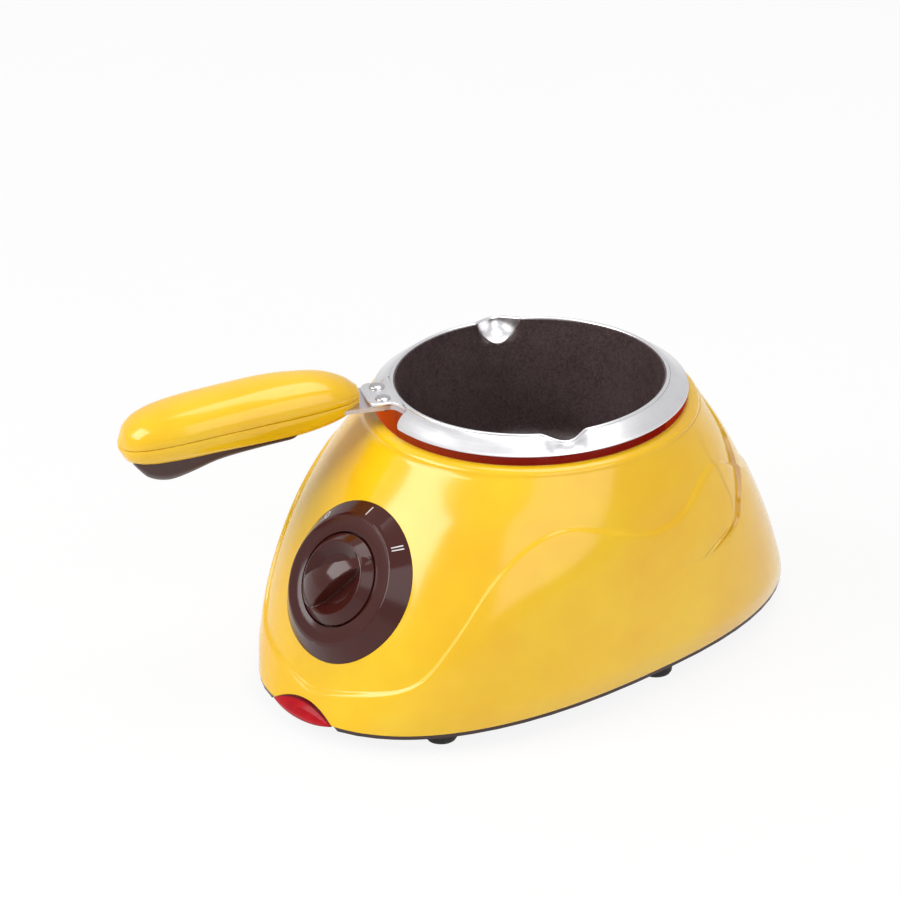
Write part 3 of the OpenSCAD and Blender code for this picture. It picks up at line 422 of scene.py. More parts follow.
def lens_look():
    """Tinted clear moulding of the lamp's lens."""
    look = Look("red_lens", specular_ior_level=0.16, ior=1.4)
    look.tint(look.ranged(look.noise(7, 2), 0, 1), srgb("a40f1b"), srgb("be1824"))
    # Painted shade: near-black red on the lens's rim and back, where the mesh's shares say.
    look.paint_shade(srgb("38060a"), 0.9)
    look.roughness(look.ranged(look.noise(2, 2), 0.12, 0.2))
    look.shader.inputs["Emission Color"].default_value = (*srgb("c00818"), 1)
    look.shader.inputs["Emission Strength"].default_value = 0.04
    return look.mat


def glass_look():
    look = Look("neon_glass", transmission_weight=0.8, ior=1.45)
    look.tint(look.noise(3), srgb("e07038"), srgb("f09060"))
    look.roughness(look.ranged(look.noise(1, 2), 0.05, 0.15))
    return look.mat


COATING, LENS, NEON = coating_look(), lens_look(), glass_look()

# Housing


def half_sizes(t):
    spans = (BODY_W / 2, BODY_FRONT, BODY_REAR)
    return [TOP_R + curve(SECTION_SHARES, t, 1 + k) * (s - TOP_R - SKIRT_PROUD) for k, s in enumerate(spans)]


def skin_point(t, a, grow):
    """Points of the housing's outline at height share t and angle a in degrees from the front."""
    n = curve(SECTION_SHARES, t, 4)
    wide, front, rear = half_sizes(t)
    c, s = np.cos(np.radians(a)), np.sin(np.radians(a))
    x = round_power(s, n) * (wide + grow)
    y = -round_power(c, n) * (np.where(c > 0, front, rear) + grow)
    return np.stack([x, y, EDGE_Z + t * LOFT_H], -1)


def wave_at(a):
    return curve(WAVE_SHARES, np.where(a > 180, 360 - a, a), 1)


def front_skin(x, z, grow=0.0):
    """Y of the housing's front skin at a place across it and a height."""
    t = np.clip((z - EDGE_Z) / LOFT_H, 0, 1)
    n, (wide, front, _) = curve(SECTION_SHARES, t, 4), half_sizes(t)
    return -(front + grow) * (1 - (np.abs(x) / (wide + grow)) ** n) ** (1 / n)


LEAN_SHARE = 0.08
DIAL_SHARE = (DIAL_Z - EDGE_Z) / LOFT_H
DIAL_Y = -float(half_sizes(DIAL_SHARE)[1])
SHRINK = float(half_sizes(DIAL_SHARE - LEAN_SHARE)[1] - half_sizes(DIAL_SHARE + LEAN_SHARE)[1])
DIAL_LEAN = math.degrees(math.atan2(SHRINK, 2 * LEAN_SHARE * LOFT_H))
AT_DIAL = Matrix.Translation((0, DIAL_Y, DIAL_Z)) @ turned(90 - DIAL_LEAN, "X")
AT_HANDLE = turned(-90 - HANDLE_TURN)

# Recess: its full depth, and the columns that run along its soft and its sharp line
CREASE_DEPTH = 0.6 * BODY_WALL
FOLD, STEP = 108.0, 124.0


def housing_columns():
    """Column angles, with a close pair that runs along the recess's sharp line on each side."""
    half = np.concatenate([np.arange(0, STEP + 1), [STEP + 0.4], np.arange(STEP + 1, 180)])
    return np.concatenate([half, [180], 360 - half[:0:-1]])


def crease_strength(t):
    """Share of the recess's full depth at a height share."""
    return curve(CREASE_SHARES, np.clip(t, CREASE_SHARES[0][0], 1), 3) * smooth(t, 0.46, 0.5)


def follow_crease(t, a):
    """Angles that the columns take at a height share, and the depth of the side recess there."""
    half = np.where(a > 180, 360 - a, a)
    share = np.clip(t, CREASE_SHARES[0][0], 1)
    soft, sharp = curve(CREASE_SHARES, share, 1), curve(CREASE_SHARES, share, 2)
    stops = [(0, 0), (80, 80), (FOLD, soft), (STEP, sharp), (STEP + 0.4, sharp + 0.3), (165, 165), (180, 180)]
    out = half
    for (n0, a0), (n1, a1) in zip(stops, stops[1:]):
        out = np.where((half > n0) & (half <= n1), a0 + (a1 - a0) * (half - n0) / (n1 - n0), out)
    across = np.clip((out - soft) / (sharp - soft), 0, 1) * (half <= STEP + 0.1)
    return np.where(a > 180, 360 - out, out), CREASE_DEPTH * across * crease_strength(t)


def housing():
    a = housing_columns()
    flat = np.ones(len(a))
    half = np.minimum(a, 360 - a)
    # Painted shade along the recess's sharp step and, at under half strength, its soft fold, growing with the
    # recess's depth.
    on_lines = (np.abs(half - STEP - 0.2) < 0.3) + 0.45 * (np.abs(half - FOLD) < 0.3)
    rings, seam = [], []

    def ring_at(share_of, grow, rise=0.0):
        angles = a
        for _ in range(40):
            t = share_of(angles) + rise / LOFT_H
            places, depth = follow_crease(t, a)
            angles = angles + 0.6 * (places - angles)
        rings.append(skin_point(t, angles, grow - depth))
        seam.append(on_lines * crease_strength(t))

    def circle(r, z):
        rings.append(np.stack([r * np.sin(np.radians(a)), -r * np.cos(np.radians(a)), flat * z], -1))

    for grow, rise in ((SKIRT_PROUD - 0.5, 0), (SKIRT_PROUD - 0.12, 0.1), (SKIRT_PROUD, 0.5)):
        ring_at(lambda angles: 0 * angles, grow, rise)
    for s in np.linspace(0.03, 1, 40)[:-1]:
        ring_at(lambda angles: wave_at(angles) * s, SKIRT_PROUD, -2.4 * s)
    for rise, share in ((-2.2, 1), (-1.4, 0.99), (-0.9, 0.93), (-0.5, 0.8), (-0.2, 0.6), (0.05, 0.36),
                        (0.25, 0.17), (0.5, 0.05), (0.9, 0), (1.6, 0)):
        ring_at(wave_at, SKIRT_PROUD * share, rise)
    for s in np.linspace(0, 1, 40)[1:-1]:
        ring_at(lambda angles: wave_at(angles) + (1 - wave_at(angles)) * s, 0, 2.2 * (1 - s))
    edge = 1.2
    for q in np.radians(np.linspace(0, 90, 11)):
        circle(TOP_R - (LIP_W - edge) * (1 - math.cos(q)), LOFT_TOP + LIP_H * math.sin(q))
    outer = len(rings)
    for q in np.radians(np.linspace(15, 90, 6)):
        circle(WELL_R + edge * (1 - math.sin(q)), BODY_TOP - edge * (1 - math.cos(q)))
    for z in (75, 65, 55, HEATER_Z):
        circle(WELL_R, z)
    circle(LEDGE_R, HEATER_Z)
    circle(LEDGE_R, LEDGE_Z)
    circle(WELL_R + BODY_WALL, LEDGE_Z)
    circle(WELL_R + BODY_WALL, EDGE_Z + 0.9 * LOFT_H)
    for t in np.linspace(0.9, 0, 19):
        rings.append(skin_point(t * flat, a, -BODY_WALL))
    pts = np.array(rings)
    seam += [0 * a] * (len(rings) - len(seam))
    sunk = sink_dial(pts[:outer])
    obj = Build().grid(pts, round_rows=True).piece("housing_skin", YELLOW, "base", "yellow_plastic",
                                                   replaces=("housing",), sharp=40, seam=seam)
    crisp_border(obj.data, set(np.flatnonzero(sunk.ravel())))


def crisp_border(mesh, inner):
    """Keeps shading from running between faces that touch a set of vertices and the others."""
    sides = {}
    for face in mesh.polygons:
        touches = any(v in inner for v in face.vertices)
        for key in face.edge_keys:
            sides.setdefault(key, set()).add(touches)
    for edge in mesh.edges:
        if len(sides[edge.key]) == 2:
            edge.use_edge_sharp = True


def ring_foot(clock):
    """Height of the skin over the dial's frame along the ring's edge, at clock angles in radians."""
    forward = np.array(AT_DIAL, float)
    z = np.zeros_like(clock)
    for _ in range(40):
        local = np.stack([DIAL_R * np.sin(clock), DIAL_R * np.cos(clock), z], -1)
        world = local @ forward[:3, :3].T + forward[:3, 3]
        z = z + 0.7 * (world[..., 1] - front_skin(world[..., 0], world[..., 2]))
    return z


def sink_dial(pts):
    """Cuts a round seat for the ring: the skin under it goes down and the border lies on its circle."""
    inverse, forward = np.array(AT_DIAL.inverted(), float), np.array(AT_DIAL, float)
    local = pts @ inverse[:3, :3].T + inverse[:3, 3]
    r = np.hypot(local[..., 0], local[..., 1])
    inside = (r < DIAL_R + 0.1) & (local[..., 2] > -15) & (pts[..., 1] < 0)
    outside = ~inside
    border = np.zeros_like(inside)
    for dj in (-1, 0, 1):
        for di in (-1, 0, 1):
            border |= np.roll(np.roll(outside, dj, 0), di, 1)
    border &= inside
    sunk = inside & ~border
    local[..., 2] = np.where(sunk, -DIAL_SEAT - 0.2, local[..., 2])
    clock = np.arctan2(local[border][:, 0], local[border][:, 1])
    reach = DIAL_R + 0.1
    local[border] = np.stack([reach * np.sin(clock), reach * np.cos(clock), ring_foot(clock)], -1)
    pts[...] = local @ forward[:3, :3].T + forward[:3, 3]
    return sunk


housing()

# Dial, knob and marks


CONE_SOFT = 0.5
RING_TOP = 0.79


def cone_point(clock, share, up=0.0):
    """Points on the ring's cone at clock angles in radians and a share of its slant, lifted off it."""
    low, top = ring_foot(clock) + 0.15, DIAL_RISE - 0.5 * CONE_SOFT
    run = RING_TOP * DIAL_R + CONE_SOFT - DIAL_R
    slope = np.arctan2(-run, top - low)
    r, z = DIAL_R + run * share + up * np.cos(slope), low + (top - low) * share + up * np.sin(slope)
    return np.stack([r * np.sin(clock), r * np.cos(clock), z], -1)


def dial_ring():
    clock = np.linspace(0, 2 * np.pi, 160, endpoint=False)
    top_r = RING_TOP * DIAL_R
    pocket_r = KNOB_R + KNOB_GAP
    floor = -DIAL_RISE / 6

    def turn(r, z):
        return np.stack([r * np.sin(clock), r * np.cos(clock), z + 0 * clock], -1)

    rings = [turn(4, -DIAL_SEAT), turn(DIAL_R - 0.3, -DIAL_SEAT), turn(DIAL_R, -DIAL_SEAT + 0.3)]
    rings += [cone_point(clock, q) for q in np.linspace(0, 1, 7)]
    for q in np.radians((25, 50, 75)):
        soft_z = DIAL_RISE - 0.5 * CONE_SOFT * math.cos(q) ** 2
        rings.append(turn(top_r + CONE_SOFT * (1 - math.sin(q)) - 0.1, soft_z))
    deep = DIAL_RISE - floor
    for r, drop in ((top_r - CONE_SOFT, 0), (0.5 * (top_r + pocket_r), 0), (pocket_r + 0.3, 0),
                    (pocket_r + 0.08, 0.08), (pocket_r, 0.3), (pocket_r, deep), (4, deep)):
        rings.append(turn(r, DIAL_RISE - drop))
    build = Build().grid(np.array(rings)[:, ::-1], round_rows=True).move(AT_DIAL)
    return build.piece("dial_bezel", BROWN, "base", "brown_plastic", replaces=("dial_ring",), sharp=35)


def stroke(build, points, width, lift):
    """A painted line on the ring's cone, along (clock angle, distance share up the cone) points."""

    def on_cone(angle, share, up):
        return cone_point(np.radians(angle), share, up)

    pts = [np.array(p, float) for p in points]
    closed = np.allclose(pts[0], pts[-1])
    reach = math.hypot(DIAL_RISE + 2, DIAL_R * (1 - RING_TOP))
    scale = np.array([math.radians(1) * 24.0, reach])
    rings = []
    for k, p in enumerate(pts):
        a = pts[k - 1] if k else (pts[-2] if closed else p)
        b = pts[k + 1] if k < len(pts) - 1 else (pts[1] if closed else p)
        d = (b - a) * scale
        d /= np.linalg.norm(d)
        side = np.array([-d[1], d[0]]) * width / 2 / scale
        rings.append([on_cone(*(p + side), -0.1), on_cone(*(p + side), lift), on_cone(*(p - side), lift),
                      on_cone(*(p - side), -0.1)])
    build.grid(rings[:-1] if closed else rings, round_rows=closed, cap_first=not closed, cap_last=not closed)


def marks():
    """0, I and II round the dial, painted on its cone."""
    build = Build()
    width, lift = 0.38, 0.05
    mid, tall = 0.52, 0.3
    turn = np.linspace(0, 2 * np.pi, 25)
    oval = [(-DIAL_STEP + 2.2 * math.sin(q), mid + tall * 0.9 * math.cos(q)) for q in turn]
    stroke(build, oval, width, lift)
    stroke(build, [(0, mid - tall), (0, mid + tall)], width * 1.1, lift)
    for side in (-1.3, 1.3):
        stroke(build, [(DIAL_STEP + side, mid - tall), (DIAL_STEP + side, mid + tall)], width * 1.1, lift)
    build.move(AT_DIAL)
    return build.piece("dial_marks", MARK, "base", "moulding")


AT_KNOB = AT_DIAL @ turned(-DIAL_STEP)


def knob():
    """Conical skirt with a dished top, crossed by a teardrop grip under a shallow dome."""
    base = -DIAL_RISE / 6 + 0.3
    rim_r, rim_z = 0.82 * KNOB_R, DIAL_RISE + 0.48 * KNOB_RISE
    top = DIAL_RISE + KNOB_RISE
    crown_h = 0.88 * KNOB_RISE
    crown_r = (KNOB_R ** 2 + crown_h ** 2) / (2 * crown_h)
    cols = 240
    ang = np.linspace(0, 2 * np.pi, cols, endpoint=False)
    back_r, back_y, nose_r, nose_y = 0.36 * KNOB_R, -0.62 * KNOB_R, 0.09 * KNOB_R, 0.9 * KNOB_R
    lean = math.asin((back_r - nose_r) / (nose_y - back_y))

    def grip_distance(x, y):
        """Signed distance outside the teardrop's outline."""
        ax = np.abs(x)
        side = ax * math.cos(lean) + (y - back_y) * math.sin(lean) - back_r
        tip = np.hypot(ax, y - nose_y) - nose_r
        tail = np.hypot(ax, y - back_y) - back_r
        foot = -ax * math.sin(lean) + (y - back_y) * math.cos(lean)
        span = (nose_y - back_y) * math.cos(lean)
        return np.where(foot < 0, tail, np.where(foot > span, tip, side))

    def surface(x, y):
        r = np.hypot(x, y)
        wall_at = [0, 0.55 * KNOB_R, 0.9 * rim_r, rim_r - 0.35, rim_r, KNOB_R - 0.25, KNOB_R]
        wall_z = [DIAL_RISE + 0.66, DIAL_RISE + 1.06, rim_z - 0.55, rim_z, rim_z - 0.12, DIAL_RISE + 0.45,
                  DIAL_RISE + 0.2]
        wall = np.interp(r, wall_at, wall_z)
        dome = top - crown_r + np.sqrt(np.maximum(crown_r ** 2 - r ** 2, 0))
        inside = grip_distance(x, y)
        blend = smooth(inside, -0.35, 0.35)
        return np.where(dome > wall, dome + (wall - dome) * blend, wall)

    radii = np.concatenate([np.linspace(0.05, 0.9 * rim_r, 60), np.linspace(0.9 * rim_r, KNOB_R, 34)[1:]])
    rings = [[(KNOB_R * 0.8 * math.cos(q), KNOB_R * 0.8 * math.sin(q), base) for q in ang],
             [(KNOB_R * math.cos(q), KNOB_R * math.sin(q), base) for q in ang]]
    for r in radii[::-1]:
        x, y = r * np.cos(ang), r * np.sin(ang)
        rings.append(np.stack([x, y, surface(x, y)], -1))
    build = Build().grid(rings, cap_first=True, cap_last=True).move(AT_KNOB)
    return build.piece("knob_body", BROWN, "knob", "brown_plastic", replaces=("control_knob",), sharp=50)


def lamp_lens():
    """Lens of the lamp: an almond between two arcs, bulging softly from the skirt."""
    half, drop = LENS_W / 2, 0.47 * LENS_H
    rings, seam = [], []
    for u in np.linspace(-0.985, 0.985, 75):
        x = half * u
        up, down = ((half ** 2 + rise ** 2) / (2 * rise) for rise in (LENS_H, drop))
        high = EDGE_Z + LENS_H - up + math.sqrt(up ** 2 - x ** 2) - 0.1
        low = EDGE_Z - drop + down - math.sqrt(down ** 2 - x ** 2)
        v = np.linspace(-1, 1, 25)
        z = low + (high - low) * (1 + v) / 2
        skin = front_skin(x, z, SKIRT_PROUD)
        swell = (1 - u * u) ** 0.7
        face = np.interp(v, [-1, -0.93, -0.8, -0.2, 0.34, 0.44, 0.8, 0.94, 1],
                         [0.0, 0.24, 0.42, 0.78, 1.0, 0.97, 0.62, 0.36, 0.0])
        front_y = skin - 0.12 - (LENS_BULGE - 0.12) * swell * face
        back_y = np.full(len(v), skin.max() + 1.2)
        side = np.concatenate([np.column_stack([front_y, z]), np.column_stack([back_y, z])[::-1]])
        rings.append(np.column_stack([np.full(len(side), x), side]))
        # Painted shade: the lens darkens towards its rim and over its whole back, standing in for the shaded
        # gap round it.
        rim = np.maximum(smooth(np.abs(v), 0.72, 0.94), smooth(abs(u), 0.9, 0.97))
        seam.append(np.concatenate([rim, np.ones(len(v))]))
    build = Build().grid(rings, cap_first=True, cap_last=True)
    return build.piece("lamp_lens_skin", LENS, "base", "red_lens", replaces=("lamp_lens",), sharp=60,
                       seam=seam)


dial_ring()
marks()
knob()
lamp_lens()

# Pot

FLOOR_R = POT_R - POT_TAPER
POT_FLOOR_Z = RIM_Z - POT_DEPTH
CORNER_Z = POT_FLOOR_Z + POT_CORNER_R
BEAD_Z = RIM_Z - BEAD_R
FLANGE_IN = POT_R + 2 * BEAD_R
FLANGE_R = FLANGE_IN + FLANGE_W
FLANGE_Z = BEAD_Z - BEAD_R / 2 - FLANGE_DROP
NOTCH = 19.0
LINING_GAP = 0.05


def pot_columns():
    """Angles round the pot from the handle, closer together at the beaks and the flange's ends."""
    spans = ((-104, -76, 0.5), (-76, -24, 2), (-24, -14, 0.4), (-14, 14, 1.5), (14, 24, 0.4), (24, 76, 2),
             (76, 104, 0.5), (104, 256, 2))
    parts = [np.arange(low, high, step) for low, high, step in spans]
    return np.unique(np.round(np.concatenate(parts), 4))


def beak_share(angles):
    """How far a column lies in a beak: 1 at its point and 0 beside it."""
    half = math.degrees(math.asin(BEAK_W / 2 / (POT_R + BEAD_R)))
    off = np.minimum(np.abs(angles - 90), np.abs(angles + 90))
    off = np.minimum(off, np.abs(angles - 270))
    t = np.clip(1 - off / half, 0, 1)
    return (0.5 - 0.5 * np.cos(np.pi * t)) ** 0.8


def pot_rows(angles, rows):
    """Rings of the pot from (radius, z, beak weight, flange weight, flange root) rows."""
    beak = beak_share(angles)
    away = np.minimum(np.abs(angles), np.abs(angles - 360))
    t = np.clip((away - (NOTCH - 2.2)) / 4.4, 0, 1)
    flange = 0.04 + 0.96 * np.sqrt(np.maximum(1 - (1 - t) ** 2, 0))
    ca, sa = np.cos(np.radians(angles)), np.sin(np.radians(angles))
    rings = []
    for r, z, w, f, root_r, root_z in rows:
        rr = np.full(len(angles), r) if not f else root_r + (r - root_r) * flange
        zz = np.full(len(angles), z) if not f else root_z + (z - root_z) * flange
        rr = rr + BEAK_OUT * beak * w
        zz = zz - 1.0 * beak * w
        rings.append(np.stack([rr * ca, rr * sa, zz], -1))
    return rings


def corner(r):
    return [(FLOOR_R - POT_CORNER_R + r * math.sin(q), CORNER_Z - r * math.cos(q))
            for q in np.radians(np.linspace(0, 90, 13))]


def wall_r(z):
    """Radius of the straight wall's inner face."""
    return FLOOR_R + (POT_R - FLOOR_R) * (z - CORNER_Z) / (BEAD_Z - CORNER_Z)


def beak_weight(z):
    """How fully the beaks push the wall out at a height."""
    return smooth(z, BEAD_Z - BEAK_H, BEAD_Z - 0.12 * BEAK_H) ** 1.15


def pot_shell():
    angles = pot_columns()

    def plain(pairs):
        return [(r, z, float(beak_weight(z)), 0, 0, 0) for r, z in pairs]

    wall = [(wall_r(z), z) for z in np.linspace(CORNER_Z + 3, BEAD_Z - 0.8, 22)]
    rows = plain([(0.05, POT_FLOOR_Z), *corner(POT_CORNER_R), *wall])
    for q in np.radians(np.linspace(0, 150, 9)):
        rows.append((POT_R + BEAD_R * (1 - math.cos(q)), BEAD_Z + BEAD_R * math.sin(q), 1, 0, 0, 0))
    rows.append((POT_R + 1.9 * BEAD_R, BEAD_Z - 0.3, 1, 0, 0, 0))
    rows.append((FLANGE_IN, BEAD_Z - 0.35, 1, 0, 0, 0))
    root = (FLANGE_IN + 0.1, BEAD_Z + 0.05)
    slope = [(0.0, 0.0, 1.0), (0.12, 0.08, 0.93), (0.3, 0.25, 0.72), (0.5, 0.46, 0.48), (0.7, 0.68, 0.25),
             (0.86, 0.86, 0.09), (0.96, 0.965, 0.01), (1.0, 1.0, 0.0)]
    wide, deep = FLANGE_R - root[0], FLANGE_Z - root[1]
    for across, down, w in slope:
        rows.append((root[0] + wide * across, root[1] + deep * down, w, 1, *root))
    rows.append((FLANGE_R + 0.05, FLANGE_Z - 0.35, 0, 1, *root))
    rows.append((FLANGE_R - 0.35, FLANGE_Z - 0.6, 0, 1, *root))
    under = (root[0] - 0.6, root[1] - 0.75)
    for across, down, w in slope[-2:0:-1]:
        rows.append((under[0] + wide * across, under[1] + deep * down, w, 1, *under))
    wall = [(wall_r(z) + POT_WALL, z) for z in np.linspace(BEAD_Z - 1.9, CORNER_Z + 3, 18)]
    rows += plain([*wall, *corner(POT_CORNER_R + POT_WALL)[::-1], (0.05, POT_FLOOR_Z - POT_WALL)])
    build = Build().grid(pot_rows(angles, rows), cap_first=True, cap_last=True)
    build.grid(plate_rings(RIM_Z - POT_WALL, RIM_Z, 0, 0.25), cap_first=True, cap_last=True)
    build.move(AT_HANDLE)
    return build.piece("pot_metal", ALUMINIUM, "pot", "aluminium", replaces=("pot_shell",), sharp=50)


def pot_coating():
    """The lining follows the bowl's inner face and leaves the metal of the beaks bare."""
    angles = pot_columns()
    beak = beak_share(angles)
    ca, sa = np.cos(np.radians(angles)), np.sin(np.radians(angles))
    low, bare = CORNER_Z + 3, BEAK_H * np.sqrt(np.clip(beak * 1.06 - 0.06, 0, 1))
    rings = []
    for off, rise in ((LINING_GAP, 0.25), (LINING_GAP + COATING_T, 0.05)):
        part = [(0.05, POT_FLOOR_Z + off)] + [(r, z) for r, z in corner(POT_CORNER_R - off)]
        side = [np.stack([r * ca, r * sa, z + 0 * ca], -1) for r, z in part]
        for share in np.linspace(0, 1, 26):
            z = low + (BEAD_Z + rise - bare - low) * share
            push = beak * beak_weight(z)
            r = wall_r(z) - off + BEAK_OUT * push
            side.append(np.stack([r * ca, r * sa, z - push], -1))
        rings += side if rise == 0.25 else side[::-1]
    build = Build().grid(rings, cap_first=True, cap_last=True).move(AT_HANDLE)
    return build.piece("pot_lining", COATING, "pot", "coating", replaces=("pot_coating",), sharp=50)


FLARE_END = POT_R + 4
RIVET_AT = POT_R + 0.34 * BRACKET_W
PLATE_END = RIVET_AT + 3.6 * RIVET_R


def plate_outline(grow, tail):
    """Plan of the riveting tab: flared into the rim, rounded at its end."""
    side = []
    for q in np.linspace(1, 0, 14):
        side.append((POT_R + 0.6 + (FLARE_END - POT_R) * (1 - q),
                     BRACKET_W / 2 + grow + 0.3 * BRACKET_W * q ** 2.5))
    for q in np.radians(np.linspace(0, 90, 12)):
        side.append((PLATE_END + grow - 2 * RIVET_R * (1 - math.sin(q)),
                     tail / 2 + (BRACKET_W / 2 + grow - tail / 2) * math.cos(q)))
    return np.array(side + [(x, -y) for x, y in side[::-1]])


def plate_rings(low, high, grow, soft):
    """A flat plate of that plan with softened edges."""
    rings = []
    edges = ((low, soft), (low + soft, 0), (high - soft, 0), (high - 0.3 * soft, 0.3 * soft), (high, soft))
    for z, inset in edges:
        line = plate_outline(grow - inset, 0.5 * BRACKET_W)
        rings.append(np.column_stack([line, np.full(len(line), z)]))
    return rings


def rivets():
    """Two rivets with smooth domed heads and a thin foot under the bracket."""
    head_r, head_h, foot = 1.75 * RIVET_R, 0.75 * RIVET_R, RIM_Z - POT_WALL - BRACKET_T
    end = foot - 0.5 * RIVET_R
    profile = [(0, end), (head_r - 0.2, end), (head_r, end + 0.2), (head_r, foot - 0.02),
               (RIVET_R, foot - 0.02), (RIVET_R, RIM_Z + 0.02), (head_r, RIM_Z + 0.02)]
    profile += [(head_r * math.cos(q), RIM_Z + 0.08 + (head_h - 0.08) * math.sin(q))
                for q in np.radians(np.linspace(0, 90, 12))]
    build = Build()
    for side in (-1, 1):
        build.lathe(profile, 48, Matrix.Translation((RIVET_AT, side * RIVET_PITCH / 2, 0)))
    build.move(AT_HANDLE)
    return build.piece("rivet_heads", RIVET_METAL, "pot", "aluminium", replaces=("bracket_rivets",), sharp=50)


pot_shell()
pot_coating()
rivets()

# Handle

HANDLE_Z = RIM_Z + BRACKET_T / 2


def handle_point(s, q, grow=0.0):
    """Points of the handle's skin at a share of its length and an angle round it in degrees."""
    s = np.asarray(s, float)
    c, k = np.cos(np.radians(q)), np.sin(np.radians(q))
    wide = curve(HANDLE_SHARES, s, 1) * HANDLE_W / 2 + grow
    high = curve(HANDLE_SHARES, s, 2) * HANDLE_H / 2 + grow
    z = HANDLE_Z - curve(HANDLE_SHARES, s, 3) * HANDLE_DROOP
    return np.stack([HANDLE_IN + s * HANDLE_LEN + 0 * c, round_power(c, HANDLE_SQUARENESS) * wide,
                     z + round_power(k, HANDLE_SQUARENESS) * high], -1)


def handle_stations(count=90):
    """Shares of the handle's length, close together at both rounded ends."""
    return 0.5 - 0.5 * np.cos(np.linspace(0, np.pi, count))


def handle_half(name, q0, replaces):
    """One shell, with a small groove along the parting line."""
    gap = 0.12
    q = np.linspace(0, 180, 49)
    rings = []
    for s in handle_stations():
        ring = handle_point(s, q0 + q)
        sign = 1 if q0 == 0 else -1
        centre = HANDLE_Z - float(curve(HANDLE_SHARES, s, 3)) * HANDLE_DROOP
        dz = sign * (ring[:, 2] - centre)
        edge = np.exp(-dz / 0.35)
        scale = 1 - 0.25 * edge / max(abs(ring[0, 1]), 1)
        ring[:, 1] *= scale
        ring[:, 2] = centre + sign * np.maximum(dz, gap)
        rings.append(ring)
    build = Build().grid(rings, cap_first=True, cap_last=True).move(AT_HANDLE)
    return build.piece(name, YELLOW, "pot", "yellow_plastic", replaces=replaces, sharp=60)


def handle_grip():
    """The soft insert under the handle, bulging towards its far end."""
    q = np.linspace(216, 324, 41)
    low, high = 0.27, 0.955
    rings = []
    for s in low + (high - low) * handle_stations(70):
        skin = handle_point(s, q, -0.6)
        depth = 0.6 + 0.7 + GRIP_BULGE * float(curve(BULGE_SHARES, s, 1)) * -np.sin(np.radians(q))
        end = min((s - low) / 0.03, (high - s) / 0.03, 1)
        side = np.clip(np.minimum(q - 216, 324 - q) / 8, 0, 1)
        depth = depth * np.sqrt(np.clip(1 - (1 - side) ** 2, 0, 1))
        depth = depth * math.sqrt(max(1 - (1 - max(end, 0)) ** 2, 0))
        low_side = skin - np.stack([0 * q, 0 * q, depth + 0.02], -1)
        rings.append(np.concatenate([low_side, skin[::-1]]))
    build = Build().grid(rings, cap_first=True, cap_last=True).move(AT_HANDLE)
    return build.piece("grip_insert", GRIP, "pot", "soft_brown", replaces=("handle_grip",), sharp=50)


handle_half("handle_top", 0, ("handle_upper",))
handle_half("handle_bottom", 180, ("handle_lower",))
handle_grip()

# Materials of the CAD nodes that show as they are

FINISHES = {
    "base_plate": EDGE_BROWN, "rubber_feet": RUBBER, "base_screws": STEEL, "lamp_lens": LENS,
    "lamp_holder": MOULDING, "neon_lamp": NEON, "dial_screws": STEEL, "switch_shaft": STEEL,
    "rotary_switch": MOULDING, "switch_terminals": BRASS, "heater_plate": HEATER, "heater_screws": STEEL,
    "heating_element": INSULATION, "insulation_disc": INSULATION, "clamp_plate": STEEL, "clamp_nuts": STEEL,
    "thermostat": DARK, "thermal_fuse": STEEL, "fuse_clip": STEEL, "terminal_block": MOULDING,
    "cord_gland": RUBBER, "cord_clamp": MOULDING, "clamp_screws": STEEL, "handle_bracket": TAB_STEEL,
    "bracket_rivets": RIVET_METAL, "handle_screws": STEEL, "housing": YELLOW, "dial_ring": BROWN,
    "control_knob": BROWN, "pot_shell": ALUMINIUM, "pot_coating": COATING, "handle_upper": YELLOW,
    "handle_lower": YELLOW, "handle_grip": GRIP,
}
for name, node in nodes.items():
    node.data.materials.clear()
    node.data.materials.append(FINISHES[name])

# Floor, light and camera

CAMERA_AT = (1240.2, -1132.5, 880.6)
CAMERA_AZIMUTH, CAMERA_ELEVATION, CAMERA_ROLL, CAMERA_LENS = 48.523, 25.870, -1.703, 224.56


def camera():
    data = bpy.data.cameras.new("photo_camera")
    data.lens, data.sensor_width = CAMERA_LENS, 36
    data.clip_start, data.clip_end = 0.1, 20
    cam = bpy.data.objects.new("photo_camera", data)
    bpy.context.scene.collection.objects.link(cam)
    turn = turned(CAMERA_AZIMUTH) @ turned(90 - CAMERA_ELEVATION, "X") @ turned(CAMERA_ROLL)
    cam.matrix_world = Matrix.Translation(Vector(CAMERA_AT) * MM) @ turn
    bpy.context.scene.camera = cam


def lamp(name, place_mm, size_mm, power, towards=(0, 0, 50)):
    data = bpy.data.lights.new(name, "AREA")
    data.shape, data.size, data.size_y = "RECTANGLE", size_mm[0] * MM, size_mm[1] * MM
    data.energy = power
    obj = bpy.data.objects.new(name, data)
    bpy.context.scene.collection.objects.link(obj)
    obj.location = Vector(place_mm) * MM
    obj.rotation_euler = (Vector(towards) * MM - obj.location).to_track_quat("-Z", "Y").to_euler()


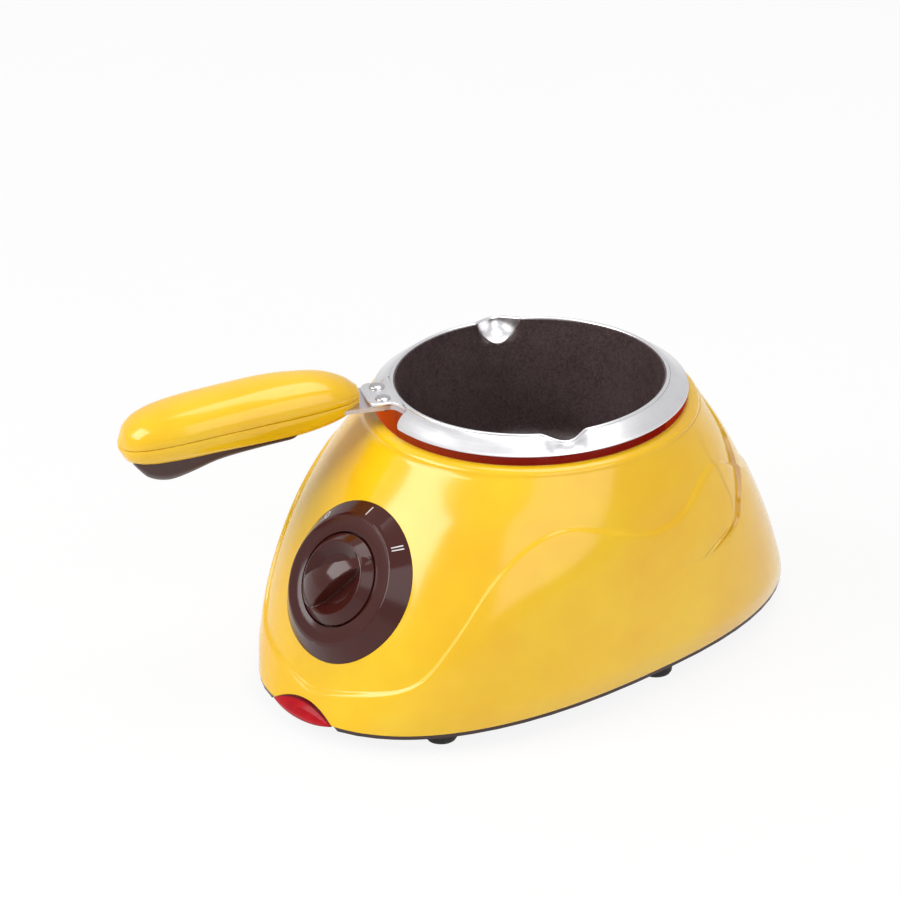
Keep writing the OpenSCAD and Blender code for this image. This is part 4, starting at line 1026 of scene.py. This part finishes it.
def white_to_camera(tree, shader_socket, out_socket, share):
    """Shows a surface as plain white to the camera and in reflections, by a share."""
    path = tree.nodes.new("ShaderNodeLightPath")
    seen = tree.nodes.new("ShaderNodeMath")
    seen.operation = "MAXIMUM"
    tree.links.new(path.outputs["Is Camera Ray"], seen.inputs[0])
    tree.links.new(path.outputs["Is Glossy Ray"], seen.inputs[1])
    clear = tree.nodes.new("ShaderNodeMath")
    clear.operation = "MAXIMUM"
    tree.links.new(seen.outputs[0], clear.inputs[0])
    tree.links.new(path.outputs["Is Transmission Ray"], clear.inputs[1])
    scale = tree.nodes.new("ShaderNodeMath")
    scale.operation = "MULTIPLY"
    scale.inputs[1].default_value = share
    tree.links.new(clear.outputs[0], scale.inputs[0])
    mix = tree.nodes.new("ShaderNodeMixShader")
    white = tree.nodes.new("ShaderNodeEmission" if tree.type == "SHADER" else "ShaderNodeBackground")
    white.inputs["Color"].default_value = (1, 1, 1, 1)
    tree.links.new(scale.outputs[0], mix.inputs["Fac"])
    tree.links.new(shader_socket, mix.inputs[1])
    tree.links.new(white.outputs[0], mix.inputs[2])
    tree.links.new(mix.outputs[0], out_socket)


GLOSSY_SHARE = 0.6


def studio():
    world = bpy.data.worlds.new("studio")
    bpy.context.scene.world = world
    world.use_nodes = True
    tree = world.node_tree
    back = next(n for n in tree.nodes if n.type == "BACKGROUND")
    back.inputs["Color"].default_value = (1, 1, 1, 1)
    back.inputs["Strength"].default_value = 0.3
    out = next(n for n in tree.nodes if n.type == "OUTPUT_WORLD")
    white = tree.nodes.new("ShaderNodeBackground")
    white.inputs["Color"].default_value = (1, 1, 1, 1)
    path = tree.nodes.new("ShaderNodeLightPath")
    mix = tree.nodes.new("ShaderNodeMixShader")
    seen = tree.nodes.new("ShaderNodeMath")
    seen.operation = "MULTIPLY_ADD"
    seen.inputs[1].default_value = GLOSSY_SHARE
    tree.links.new(path.outputs["Is Glossy Ray"], seen.inputs[0])
    tree.links.new(path.outputs["Is Camera Ray"], seen.inputs[2])
    tree.links.new(seen.outputs[0], mix.inputs["Fac"])
    tree.links.new(back.outputs[0], mix.inputs[1])
    tree.links.new(white.outputs[0], mix.inputs[2])
    tree.links.new(mix.outputs[0], out.inputs["Surface"])

    floor_mesh = bpy.data.meshes.new("floor")
    half = 4.0
    corners = [(-half, -half, 0), (half, -half, 0), (half, half, 0), (-half, half, 0)]
    floor_mesh.from_pydata(corners, [], [(0, 1, 2, 3)])
    floor = bpy.data.objects.new("floor", floor_mesh)
    bpy.context.scene.collection.objects.link(floor)
    look = Look("floor_paper")
    look.tint(look.ranged(look.noise(60), 0, 1), (0.86, 0.86, 0.86), (0.88, 0.88, 0.88))
    look.roughness(look.ranged(look.noise(5), 0.7, 0.8))
    out = next(n for n in look.tree.nodes if n.type == "OUTPUT_MATERIAL")
    white_to_camera(look.tree, look.shader.outputs[0], out.inputs["Surface"], 0.88)
    floor_mesh.materials.append(look.mat)

    lamp("key_softbox", (-450, -950, 850), (800, 700), 10)
    lamp("side_softbox", (950, -200, 650), (1000, 900), 4.5)
    lamp("top_softbox", (0, 200, 1200), (900, 700), 6)


camera()
studio()
bpy.context.scene.view_settings.view_transform = "Standard"
